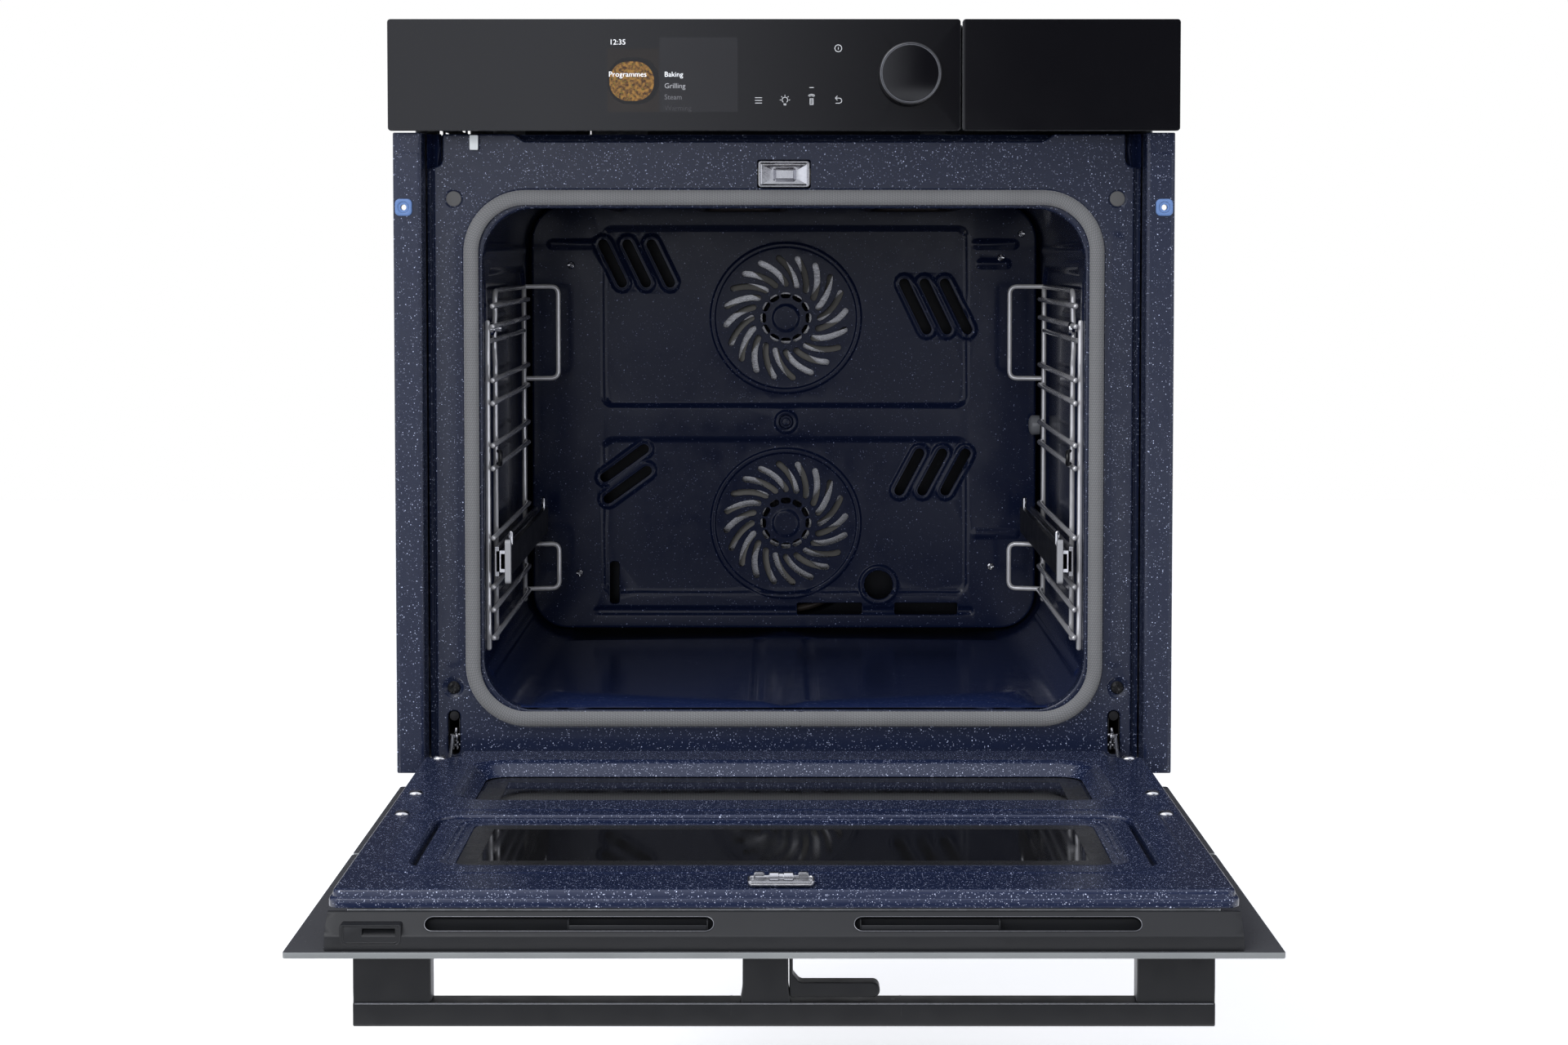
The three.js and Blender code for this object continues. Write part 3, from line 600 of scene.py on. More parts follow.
def enamel(name, base, speck, amount, shine, gloss):
    """Vitreous enamel: dark blue with fine light specks under a glossy, faintly wavy surface."""
    g = Graph(name, Specular_IOR_Level=gloss)
    drift = g.noise(9, 3)
    colour = g.mix(g.spread(drift, 0.3, 0.7, 0, 0.35), base, tuple(c * 0.8 for c in base[:3]) + (1,))
    for size, keep, light, large in ((1050, amount, 0.45, 0.36), (720, amount * 0.6, 0.8, 0.3),
                                     (480, amount * 0.35, 1.0, 0.24)):
        gap, chance = g.cells(size)
        kept = g.math("LESS_THAN", channel(g, chance, 0), keep)
        reach = g.spread(channel(g, chance, 1), 0, 1, large * 0.5, large)
        dot = g.math("LESS_THAN", gap, reach)
        strong = g.spread(channel(g, chance, 2), 0, 1, light * 0.3, light)
        colour = g.mix(g.math("MULTIPLY", g.math("MULTIPLY", dot, kept), strong), colour, speck)
    g.set("Base Color", colour)
    g.set("Roughness", g.spread(g.noise(60, 4), 0.3, 0.7, shine, shine + 0.07))
    g.bump(g.noise(260, 2), 0.012)
    return g.material


def black_glass():
    """Back-printed black glass: polished, with the faintest cloud of handling."""
    g = Graph("black_glass")
    g.set("Base Color", g.mix(g.noise(6, 3), srgb(7, 7, 10), srgb(11, 11, 14)))
    g.set("Roughness", g.spread(g.noise(35, 5), 0.3, 0.7, 0.045, 0.075))
    return g.material


def grey_glass():
    """Inner face of the door's outer glass: dark grey print under the glass."""
    g = Graph("printed_glass")
    g.set("Base Color", g.mix(g.noise(8, 4), srgb(66, 67, 70), srgb(73, 74, 77)))
    g.set("Roughness", g.spread(g.noise(160, 3), 0.3, 0.7, 0.2, 0.28))
    return g.material


def window_glass():
    """Dark reflective oven window, with faint wipe marks in its gloss."""
    g = Graph("window_glass")
    smear = g.noise(14, 5, g.scaled(6, 1, 1))
    g.set("Base Color", g.mix(smear, srgb(17, 17, 18), srgb(26, 26, 27)))
    g.set("Roughness", g.spread(smear, 0.35, 0.75, 0.03, 0.09))
    return g.material


def chrome(name, metallic):
    g = Graph(name, Metallic=metallic)
    g.set("Base Color", g.mix(g.noise(120, 3), srgb(226, 226, 228), srgb(196, 196, 200)))
    g.set("Roughness", g.spread(g.noise(420, 3), 0.3, 0.7, 0.08, 0.2))
    g.bump(g.noise(900, 2), 0.01)
    return g.material


def brushed(name, light, dark, rough, along=(1, 12, 12), metallic=1.0):
    """Rolled or brushed metal, with its grain along one axis."""
    g = Graph(name, Metallic=metallic)
    grain = g.noise(260, 4, g.scaled(*along))
    g.set("Base Color", g.mix(grain, light, dark))
    g.set("Roughness", g.spread(grain, 0.3, 0.7, rough - 0.06, rough + 0.08))
    g.bump(grain, 0.015)
    return g.material


def galvanised():
    """Zinc-coated sheet: grains of frost in several greys."""
    g = Graph("galvanised", Metallic=0.85)
    warped = g.node("ShaderNodeVectorMath", {
        0: g.place, 1: g.node("ShaderNodeVectorMath", {
            0: g.node("ShaderNodeTexNoise", {"Vector": g.place, "Scale": 90.0}).outputs["Color"],
            "Scale": 0.012}, operation="SCALE").outputs[0]}, operation="ADD").outputs[0]
    gap, chance = g.cells(170, warped)
    grey = channel(g, chance, 0)
    g.set("Base Color", g.mix(grey, srgb(150, 152, 155), srgb(170, 172, 175)))
    g.set("Roughness", g.spread(channel(g, chance, 1), 0, 1, 0.34, 0.5))
    g.bump(g.spread(gap, 0, 0.6), 0.02)
    return g.material


def plastic(name, light, dark, rough, grain=700, depth=0.02):
    """Moulded plastic or painted metal with a fine spark-eroded grain."""
    g = Graph(name)
    g.set("Base Color", g.mix(g.noise(22, 4), light, dark))
    g.set("Roughness", g.spread(g.noise(55, 4), 0.3, 0.7, rough, rough + 0.1))
    g.bump(g.noise(grain, 3), depth)
    return g.material


def gasket():
    """Braided glass-fibre sleeve: the mesh gives the ribs, this gives their yarns."""
    g = Graph("braid", Roughness=0.85)
    along = g.node("ShaderNodeUVMap", uv_map="braid").outputs[0]
    wave = g.node("ShaderNodeTexWave", {"Vector": along, "Scale": 1.0, "Distortion": 0.0},
                  wave_type="BANDS", bands_direction="DIAGONAL").outputs["Fac"]
    cross = g.node("ShaderNodeTexWave", {"Vector": along, "Scale": 1.0},
                   wave_type="BANDS", bands_direction="X").outputs["Fac"]
    yarn = g.math("MULTIPLY", g.spread(wave, 0.1, 0.7, 0.55, 1.0), g.spread(cross, 0.0, 0.6, 0.6, 1.0))
    tint = g.mix(g.noise(30, 4), srgb(118, 119, 121), srgb(101, 102, 104))
    g.set("Base Color", g.mix(yarn, srgb(66, 66, 67), tint))
    g.set("Sheen Weight", 0.25)
    g.bump(yarn, 0.12)
    return g.material


def wool():
    g = Graph("insulation", Roughness=0.95)
    fibre = g.noise(320, 6, g.scaled(1, 1, 3))
    g.set("Base Color", g.mix(fibre, srgb(168, 160, 138), srgb(222, 217, 203)))
    g.bump(fibre, 0.8)
    return g.material


def heater_tube():
    g = Graph("heater_tube", Metallic=0.7)
    bloom = g.noise(60, 4)
    g.set("Base Color", g.mix(bloom, srgb(46, 44, 44), srgb(84, 76, 70)))
    g.set("Roughness", g.spread(bloom, 0.3, 0.7, 0.35, 0.6))
    return g.material


def glowing(name, colour, strength):
    """Printed light of the control panel, faintly uneven."""
    g = Graph(name, Roughness=0.3)
    shade = g.mix(g.noise(500, 2), colour, tuple(c * 0.8 for c in colour[:3]) + (1,))
    g.set("Base Color", shade)
    g.set("Emission Color", shade)
    g.set("Emission Strength", strength)
    return g.material


def baked_dish():
    """The screen's picture of a dish: a golden crust with green and brown flecks."""
    g = Graph("screen_dish", Roughness=0.3)
    crust = g.noise(420, 6)
    colour = g.mix(g.spread(crust, 0.38, 0.62), srgb(52, 30, 12), srgb(132, 96, 40))
    gap, chance = g.cells(620)
    fleck = g.math("MULTIPLY", g.math("LESS_THAN", gap, 0.3),
                   g.math("LESS_THAN", channel(g, chance, 0), 0.3))
    colour = g.mix(fleck, colour, srgb(92, 88, 24))
    g.set("Base Color", colour)
    g.set("Emission Color", colour)
    g.set("Emission Strength", 0.06)
    return g.material


ENAMEL = enamel("enamel", srgb(20, 27, 48), srgb(190, 199, 226), 0.2, 0.2, 0.6)
DOOR_ENAMEL = enamel("door_enamel", srgb(24, 32, 56), srgb(206, 214, 242), 0.34, 0.2, 0.6)
CAVITY_ENAMEL = enamel("cavity_enamel", srgb(13, 20, 42), srgb(130, 140, 178), 0.08, 0.13, 0.3)
LINER_ENAMEL = enamel("liner_enamel", srgb(20, 29, 58), srgb(140, 150, 188), 0.08, 0.13, 0.4)
# Near-black copy of the cavity enamel: painted shade for the back wall of the fan chamber behind the baffle.
CHAMBER_ENAMEL_PAINTED_SHADE = enamel("chamber_enamel_painted_shade", srgb(6, 7, 11), srgb(50, 54, 66), 0.03, 0.3, 0.2)
BLACK_GLASS = black_glass()
PRINTED_GLASS = grey_glass()
WINDOW_GLASS = window_glass()
CHROME = chrome("chrome", 1.0)
WIRE_CHROME = chrome("wire_chrome", 0.55)
STEEL = brushed("steel", srgb(206, 206, 208), srgb(168, 168, 171), 0.26)
FAN_STEEL = brushed("fan_steel", srgb(158, 157, 155), srgb(122, 121, 119), 0.36, metallic=0.35)
ZINC = galvanised()
BRAID = gasket()
WOOL = wool()
HEATER = heater_tube()
DARK_TRIM = plastic("dark_trim", srgb(20, 21, 24), srgb(17, 18, 20), 0.42, 900, 0.008)
HANDLE = plastic("handle_finish", srgb(12, 13, 16), srgb(10, 11, 13), 0.36, 1100, 0.006)
# Grey plastic: the bar's pin, and painted light on the inner faces of the handle's end posts.
LIT_FACE_AND_PIN_GREY = plastic("painted_lit_face_and_pin_grey", srgb(96, 97, 101), srgb(84, 85, 89), 0.4)
GLASS_EDGE = plastic("glass_edge", srgb(124, 127, 128), srgb(100, 103, 104), 0.15)
FRIT = plastic("window_frit", srgb(38, 38, 38), srgb(30, 30, 31), 0.22, 1400, 0.002)
# Light brushed metal: the knob's real bright rim, and also painted highlights as thin light strips on the
# handle's top edge and round the trim's slots.
RIM_METAL_AND_HIGHLIGHT = brushed("rim_metal_and_painted_highlight", srgb(150, 151, 155), srgb(118, 119, 123), 0.3)
DARK_PLASTIC = plastic("dark_plastic", srgb(44, 45, 48), srgb(36, 37, 40), 0.5)
BLACK_PLASTIC = plastic("black_plastic", srgb(17, 17, 19), srgb(12, 12, 14), 0.35)
WHITE_PLASTIC = plastic("white_plastic", srgb(226, 231, 234), srgb(206, 212, 216), 0.35)
GROMMET_BLUE = plastic("grommet_rubber", srgb(96, 124, 172), srgb(76, 104, 152), 0.4)
PLUG_GREY = plastic("plug_grey", srgb(88, 88, 89), srgb(78, 78, 79), 0.5)
CAP_GREY = plastic("rail_cap", srgb(150, 151, 154), srgb(134, 135, 139), 0.3)
LAMP = plastic("lamp_lens", srgb(120, 122, 126), srgb(96, 98, 104), 0.12)
ICON = glowing("icon_light", srgb(196, 198, 202), 0.25)
SCREEN_TEXT = glowing("screen_text", srgb(226, 228, 232), 0.45)
SCREEN_DIM = glowing("screen_text_dim", srgb(96, 97, 101), 0.12)
SCREEN_MID = glowing("screen_text_mid", srgb(150, 151, 155), 0.2)
SCREEN_FAINT = glowing("screen_text_faint", srgb(48, 48, 52), 0.03)
KNOB_SKIN = plastic("knob_skin", srgb(24, 24, 27), srgb(18, 18, 20), 0.3, 900, 0.004)
SCREEN = plastic("screen_face", srgb(26, 26, 29), srgb(21, 21, 24), 0.08, 1400, 0.001)
SCREEN_PAN = plastic("screen_pan", srgb(30, 25, 22), srgb(16, 14, 13), 0.15, 1400, 0.001)
DISH = baked_dish()

SLOT_LOOKS = {
    "enamel": ENAMEL, "cavity_enamel": CAVITY_ENAMEL, "galvanised": ZINC,
    "black_glass": BLACK_GLASS, "clear_glass": WINDOW_GLASS, "chrome": CHROME, "steel": STEEL,
    "gasket": BRAID, "dark_trim": DARK_TRIM, "handle": HANDLE, "dark_plastic": DARK_PLASTIC,
    "white_plastic": WHITE_PLASTIC, "insulation": WOOL,
    "element": HEATER, "screen": SCREEN,
}


def dress(node, look):
    """Gives a CAD node that stays its detailed material."""
    mesh = frame["nodes"][node].data
    for i in range(max(1, len(mesh.materials))):
        if i < len(mesh.materials):
            mesh.materials[i] = look
        else:
            mesh.materials.append(look)


for subpart in frame["record"]["subparts"]:
    dress(subpart["node"], SLOT_LOOKS[subpart["material_slot"]])


# ---- Carcass front ----
LIP = [(0, -6.5), (0, -1.2), (0.3, -0.45), (0.8, -0.1), (1.4, 0)]
TURNED_IN = [(0, -9), (0, -1.6), (0.4, -0.6), (1.1, -0.15), (2.0, 0)]
PLATE_X = PLATE_HIGH.x - 5.5
PLATE_DEPTH = 45
MOUTH = box2(-232, 232, 44.6, 432.7, 40, arc=10)
KEEPER = span("door_keeper")


def plate_outline():
    """The front plate: notched top corners, and a top edge that drops in the middle."""
    half, low, high, drop = PLATE_X, PLATE_LOW.z, PANEL_LOW.z - 0.6, 484.2
    right = [(half, low), (half, 464.6), (262.2, 464.6), (262.2, high), (207, high), (199, drop)]
    radii = [1.5, 1.2, 6, 1, 3, 3]
    points = right + [(-x, z) for x, z in right[::-1]]
    return Outline(points, radii + radii[::-1], 5, 30)


def front_plate():
    """Enamelled front plate with its pressed shapes and the openings of the parts behind it."""
    holes = [(MOUTH, TURNED_IN),
             (box2(-20.3, 20.3, KEEPER[0].z - 0.7, KEEPER[1].z + 0.7, 1.5, 3),
              [(0, -3), (0, -0.5), (0.4, 0)])]
    reliefs = [(box2(-243.5, 243.5, 35, 444, 46, 10), [(0, -0.9), (4.5, 0)])]
    for sign in (-1, 1):
        slot = box2(*sorted((sign * 251, sign * 260.5)), 9.5, 44, 4.2, 5)
        holes.append((slot, [(0, -3), (0, -0.8), (0.8, 0)]))
        reliefs.append((Disc(sign * PLATE_SCREW_X + FITTINGS_SHIFT, PLATE_SCREW_Z, 8.2, 28),
                        [(-3.4, -1.5), (0.8, 0)]))
        reliefs.append((Disc(sign * PLUG_X + FITTINGS_SHIFT, PLUG_Z, 6.9, 28), [(-0.9, -0.9), (0.5, 0)]))
        reliefs.append((Stroke([(sign * 255.5, 84), (sign * 255.5, 408)], 6.5), [(-4, 0.35), (1.5, 0)]))
    piece = pressed("plate_skin", "carcass", ENAMEL, plate_outline(), facing(PLATE_DEPTH), LIP,
                    holes, reliefs, thickness=0.8)
    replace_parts(piece, "front_plate")


def plate_sides():
    """The set-back edge of the front plate beside each trim, with its two folds."""
    for side, sign in SIDES:
        strip = Outline([(x, deep(d)) for x, d in (
            (268.6, 50.4), (270.2, 49.4), (271.4, 50.6), (274.4, 50.6), (274.4, 52.0), (268.6, 52.0))],
            [0.1, 0.5, 0.5, 0.1, 0.1, 0.1], 3, 50)
        rings = [[(sign * p.x, p.y, z) for p in strip.contour()] for z in (5, 120, 240, 360, 464)]
        loft(f"plate_edge_{side}", "carcass", ENAMEL, rings)


def plate_recess():
    """Dark sheet behind the plate's dropped top edge, and the curved ends behind its notches."""
    sheet = box2(-246, 246, 462, 489.8, 2, 3)
    channel_shape = box2(-210, 210, 474, 487, 4, 4)
    pressed("plate_backing", "carcass", CAVITY_ENAMEL, sheet, facing(62), LIP,
            reliefs=[(channel_shape, [(-4, -2.5), (0, 0)])], thickness=0.8)
    lip = Outline([(deep(60.5), 478), (deep(61.6), 478), (deep(61.6), 486.6), (deep(57.2), 489.8),
                   (deep(56.4), 489.0), (deep(60.5), 486)], 0.3, 2)
    swept("plate_backing_lip", "carcass", ENAMEL, lip, -204, 204, "x")
    for side, sign in SIDES:
        curve = [(sign * (263.2 + 1.5 * i), deep(47 + 7 * math.sin(i * 0.55)), 0) for i in range(8)]
        rings = []
        for z in (463, 470, 478, 486, 489.6):
            front = [(x, y, z) for x, y, _ in curve]
            back = [(x, y + 1.0, z) for x, y, _ in curve[::-1]]
            rings.append(front + back)
        loft(f"notch_shield_{side}", "carcass", CAVITY_ENAMEL, rings)
        tubes(f"notch_bead_{side}", "carcass", CAVITY_ENAMEL,
              [[(sign * 266.5, deep(46.5), 465), (sign * 264.6, deep(46.2), 478),
                (sign * 266, deep(46.4), 489.3)]], 0.5, 8)


def screw_head(bm, centre, radius, out):
    """Pan-head cross screw whose axis is Y; out is the way its head faces."""
    profile = [(radius, 0), (radius, 0.7), (radius * 0.86, 1.5), (radius * 0.5, 2.0), (0.01, 2.1)]
    steps = 40
    rings = []
    for r, along in profile:
        ring = []
        for k in range(steps):
            a = 2 * math.pi * k / steps
            cross = min(abs(math.cos(a)), abs(math.sin(a))) * r < radius * 0.13
            sink = 1.0 if cross and r < radius * 0.62 else 0
            ring.append((centre[0] + r * math.cos(a), centre[1] + out * (along - sink),
                         centre[2] + r * math.sin(a)))
        rings.append(ring)
    loft_into(bm, rings)


def plate_fittings():
    """Plugs and screws of the front plate."""
    bm = bmesh.new()
    for sign in (-1, 1):
        screw_head(bm, (sign * PLATE_SCREW_X + FITTINGS_SHIFT, deep(46.2), PLATE_SCREW_Z), 5.0, -1)
    finish_mesh("plate_screws", bm, "carcass", BLACK_PLASTIC, 30)
    for side, sign in SIDES:
        turned(f"plate_plug_{side}", "carcass", PLUG_GREY,
               (sign * PLUG_X + FITTINGS_SHIFT, deep(45.9), PLUG_Z),
               [(0, 1), (5.8, 1), (5.9, -0.2), (5.5, -0.75), (4.2, -0.9), (0, -0.95)])


def lettering(name, text, place, size, look, **settings):
    """Letters that face the front, as one piece of the carcass."""
    curve = bpy.data.curves.new(name, "FONT")
    curve.body = text
    curve.size = size * MM
    for key, value in settings.items():
        setattr(curve, key, value)
    made = bpy.data.objects.new(name, curve)
    bpy.context.scene.collection.objects.link(made)
    made.rotation_euler = (math.pi / 2, 0, 0)
    made.location = [c * MM for c in place]
    bpy.context.view_layer.update()
    mesh = bpy.data.meshes.new_from_object(made)
    mesh.transform(made.matrix_world)
    bpy.data.objects.remove(made)
    piece = bpy.data.objects.new(name, mesh)
    bpy.context.scene.collection.objects.link(piece)
    mesh.materials.clear()
    mesh.materials.append(look)
    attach(piece, "carcass")


def level_digits():
    """Rack levels pressed into the plate, from the bottom up."""
    for digit, z in zip("12345", (101.5, 154.6, 234.2, 283.5, 348.0)):
        lettering(f"level_mark_{digit}", digit, (256.5, deep(44.95), z), 15, ENAMEL, extrude=0.12 * MM,
                  bevel_depth=0.14 * MM, bevel_resolution=2, align_x="CENTER", align_y="CENTER")


def gasket_path():
    """Centre line of the door gasket, evenly stepped."""
    low, high = span("door_gasket")
    ring = box2(low.x + 5.75, high.x - 5.75, low.z + 5.75, high.z - 5.75, 42.2, 30, 1.6).contour()
    lengths = [(b - a).length for a, b in zip(ring, ring[1:] + ring[:1])]
    total = sum(lengths)
    count = int(total / 1.5)
    path, i, done = [], 0, 0.0
    for k in range(count):
        goal = total * k / count
        while done + lengths[i] < goal:
            done += lengths[i]
            i += 1
        share = (goal - done) / lengths[i]
        path.append(ring[i].lerp(ring[(i + 1) % len(ring)], share))
    return path


def door_gasket():
    """Woven sleeve with lengthwise ribs, knitted across, and a seam at the bottom."""
    path = gasket_path()
    low, high = span("door_gasket")
    middle, thick = (low.y + high.y) / 2, (high.y - low.y) / 2
    sides, count = 56, len(path)
    bm = bmesh.new()
    uv = bm.loops.layers.uv.new("braid")
    rings = []
    for k, here in enumerate(path):
        ahead = (path[(k + 1) % count] - path[k - 1]).normalized()
        out = Vector((ahead.y, -ahead.x))
        seam = math.exp(-((here.x - 13) / 1.2) ** 2) if here.y < 60 else 0
        ring = []
        for i in range(sides):
            a = 2 * math.pi * i / sides
            rib = 0.10 * math.cos(14 * a) + 0.05 * (1 if (i + k) % 2 else -1)
            swell = 1 + (rib - 0.45 * seam) / 5.5
            across, depth = 5.62 * math.cos(a) * swell, (thick - 0.1) * math.sin(a) * swell
            ring.append(bm.verts.new((here.x + out.x * across, middle - depth, here.y + out.y * across)))
        rings.append(ring)
    wave = math.pi / 10
    for k in range(count):
        for i in range(sides):
            j, n = (i + 1) % sides, (k + 1) % count
            face = bm.faces.new((rings[k][i], rings[k][j], rings[n][j], rings[n][i]))
            for loop, (a, b) in zip(face.loops, ((k, i), (k, i + 1), (k + 1, i + 1), (k + 1, i))):
                loop[uv].uv = (a * 0.75 * wave, b * 0.75 * wave)
    piece = finish_mesh("gasket_sleeve", bm, "carcass", BRAID, 80)
    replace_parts(piece, "door_gasket")
    hooks = []
    for x in (-150, -50, 50, 150):
        for z in (low.z + 5.75, high.z - 5.75):
            hooks.append([(x, deep(44.4), z), (x, deep(46.6), z)])
    tubes("gasket_hooks", "carcass", STEEL, hooks, 0.9, 8)


def keeper():
    """Bright tray that the door's catch enters, with its sprung pad."""
    low, high = KEEPER
    frame_shape = box2(low.x, high.x, low.z, high.z, 2.2, 5)
    mouth = box2(low.x + 1.5, high.x - 1.5, low.z + 1.5, high.z - 1.5, 1.4, 5)
    front = low.y
    slab("keeper_frame", "carcass", STEEL, frame_shape, lambda u, v, h: (u, front - 1.6 - h, v),
         -3.2, 0, 0.35, holes=[mouth])
    tray = pressed("keeper_tray", "carcass", CHROME, mouth, lambda u, v, h: (u, front + 8.6 - h, v),
                   [(0, 9.5), (0.1, 2), (0.5, 0.6), (1.6, 0)],
                   reliefs=[(box2(-8, 9, low.z + 5, high.z - 5, 2, 4), [(-2, 4.0), (0.5, 0)])],
                   thickness=0.6)
    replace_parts(tray, "door_keeper")


def sensor_tab():
    low, high = span("door_sensor_tab")
    shape = box2(low.x, high.x, low.z, high.z, 0.9, 4)
    piece = slab("sensor_tab", "door_sensor", WHITE_PLASTIC, shape,
                 lambda u, v, h: (u, high.y - h, v), 0, high.y - low.y, 0.45)
    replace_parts(piece, "door_sensor_tab")


front_plate()
plate_sides()
plate_recess()
plate_fittings()
level_digits()
door_gasket()
keeper()
sensor_tab()


# ---- Cavity ----
SLOT_RIM = [(0, -2.2), (0, -0.4), (0.3, 0)]
FAN_X = 1.7
FANS = {place: (FAN_LOW[place][0].z + FAN_LOW[place][1].z) / 2 for place in FAN_LOW}


def fan_slots(z):
    """Twenty curved slots round a ring of twelve ovals."""
    holes = []
    for i in range(20):
        start = 2 * math.pi * i / 20
        line = []
        for k in range(8):
            share = k / 7
            r, a = 31.5 + share * 24, start + share * 0.43
            line.append((FAN_X + r * math.cos(a), z + r * math.sin(a)))
        holes.append(Stroke(line, 2.75, 6))
    for i in range(12):
        a = 2 * math.pi * i / 12
        c, s = math.cos(a), math.sin(a)
        centre = Vector((FAN_X + 21 * c, z + 21 * s))
        holes.append(Stroke([centre - Vector((-s, c)) * 1.9, centre + Vector((-s, c)) * 1.9], 2.6, 6))
    return holes


def vent(x, z, length, degrees):
    a = math.radians(degrees)
    reach = Vector((math.cos(a), math.sin(a))) * (length / 2 - 4.3)
    return Stroke([Vector((x, z)) - reach, Vector((x, z)) + reach], 4.3, 6)


def baffle_vents():
    found = []
    for i in range(3):
        found.append(vent(-158.1 + i * 22.2, 388.2, 48, -64))
        found.append(vent(121.3 + i * 18.7, 348.6, 56, -64))
        found.append(vent(116 + i * 21.3, 195.3, 48, 62))
    return found + [vent(-147.5, 203.6, 53, 36), vent(-144.8, 183.5, 53, 36)]


def rear_baffle():
    """Rear wall: two fan grilles, raised vents, drain slots, a probe hole and sunk panels."""
    depth, vents = 470, baffle_vents()
    low, high = BAFFLE_LOW, BAFFLE_HIGH
    floor_slots = [box2(12, 72.4, 62.7, 73.6, 1.6, 4), box2(102.5, 160.8, 62.7, 73.6, 1.6, 4)]
    side_slot = box2(-161.5, -152.6, 72.8, 112, 3.2, 4)
    probe = Disc(87.7, 90.3, 13.2, 40)
    hub = Disc(1.9, 241.9, 9, 32)
    holes = [(s, SLOT_RIM) for z in FANS.values() for s in fan_slots(z)]
    holes += [(v, [(0, -3.5), (0, -0.5), (0.4, 0)]) for v in vents]
    holes += [(s, [(0, -3), (0, -0.6), (0.6, 0)]) for s in floor_slots + [side_slot, probe]]
    reliefs = [(box2(-170, 172, 253.5, 424, 12, 6), [(-7, -2.6), (0, 0)]),
               (box2(-170, 172, 80, 229, 12, 6), [(-7, -2.6), (0, 0)]),
               (Stroke([(-172, 66), (172, 66)], 4.5), [(-4, -2.2), (1, 0)]),
               (hub, [(-3.4, -2.2), (-2, 1.2), (0, 1.4), (3, 0)]),
               (probe, [(0.7, 1.4), (3.4, 1.6), (6.5, 0)])]
    for z in FANS.values():
        reliefs.append((Disc(FAN_X, z, 68.5, 72), [(-4.2, 0), (-2.4, 1.3), (0.2, 1.3), (2.4, 0)]))
        reliefs.append((Disc(FAN_X, z, 13, 32), [(-2.5, 1.0), (0.8, 0)]))
    reliefs += [(v, [(0.6, 1.5), (2.8, 1.7), (6.5, 0)]) for v in vents]
    for start, end, z in ((178, 212, 406), (182, 205, 388), (178, 214, 138), (-214, -178, 406)):
        reliefs.append((Stroke([(start, z), (end, z)], 4.4), [(-3.5, 1.5), (1.5, 0)]))
    piece = pressed("baffle_skin", "carcass", CAVITY_ENAMEL,
                    box2(low.x, high.x, low.z, high.z, 33, 8), facing(depth),
                    [(0, -7), (0, -1.8), (0.5, -0.7), (1.6, -0.1), (2.6, 0)], holes, reliefs,
                    thickness=0.9)
    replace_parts(piece, "rear_baffle")
    blocks("baffle_spacers", "carcass", ZINC,
           [((x - 5, deep(depth + 7), z - 5), (x + 5, deep(504), z + 5))
            for x in (-180, 180) for z in (90, 390)], 0.8)


def baffle_fittings():
    """Bright screws of the rear wall, the hub's pin and the lamp's lens."""
    bm = bmesh.new()
    for x, z in ((-196.3, 386.7), (199.8, 393.5), (218.7, 415.5), (-189.2, 101.6), (191.4, 107.7)):
        screw_head(bm, (x, deep(469.8), z), 3.4, -1)
    finish_mesh("baffle_screws", bm, "carcass", CHROME, 30)
    turned("hub_pin", "carcass", CAVITY_ENAMEL, (1.9, deep(471), 241.9),
           [(0, 0.4), (3.6, 0.4), (3.8, -0.8), (3.2, -1.7), (0, -2.0)], steps=32)
    turned("oven_lamp", "carcass", LAMP, (226.6, deep(455), 240),
           [(0, 8), (9, 8), (9.2, 1.5), (8.4, 0), (6, -1.2), (3, -1.9), (0, -2.1)], "x")


class Section:
    """The cavity's cross-section, unrolled: distance s round it from the middle of the floor."""

    def __init__(self, x, low, high, r):
        steps = 14
        corners = [(x - r, low + r, -90), (x - r, high - r, 0),
                   (-x + r, high - r, 90), (-x + r, low + r, 180)]
        self.points, self.normals = [Vector((0, low))], [Vector((0, 1))]
        for cx, cz, start in corners:
            for k in range(steps + 1):
                a = math.radians(start + 90 * k / steps)
                out = Vector((math.cos(a), math.sin(a)))
                self.points.append(Vector((cx, cz)) + out * r)
                self.normals.append(-out)
        self.points.append(Vector((0, low)))
        self.normals.append(Vector((0, 1)))
        self.at = [0.0]
        for a, b in zip(self.points, self.points[1:]):
            self.at.append(self.at[-1] + (b - a).length)
        self.length = self.at[-1]

    def place(self, s, depth, h):
        i = min(max(int(np.searchsorted(self.at, s)) - 1, 0), len(self.at) - 2)
        t = min(max((s - self.at[i]) / (self.at[i + 1] - self.at[i]), 0), 1)
        spot = self.points[i].lerp(self.points[i + 1], t)
        inward = self.normals[i].lerp(self.normals[i + 1], t).normalized()
        return (spot.x + inward.x * h, deep(depth), spot.y + inward.y * h)


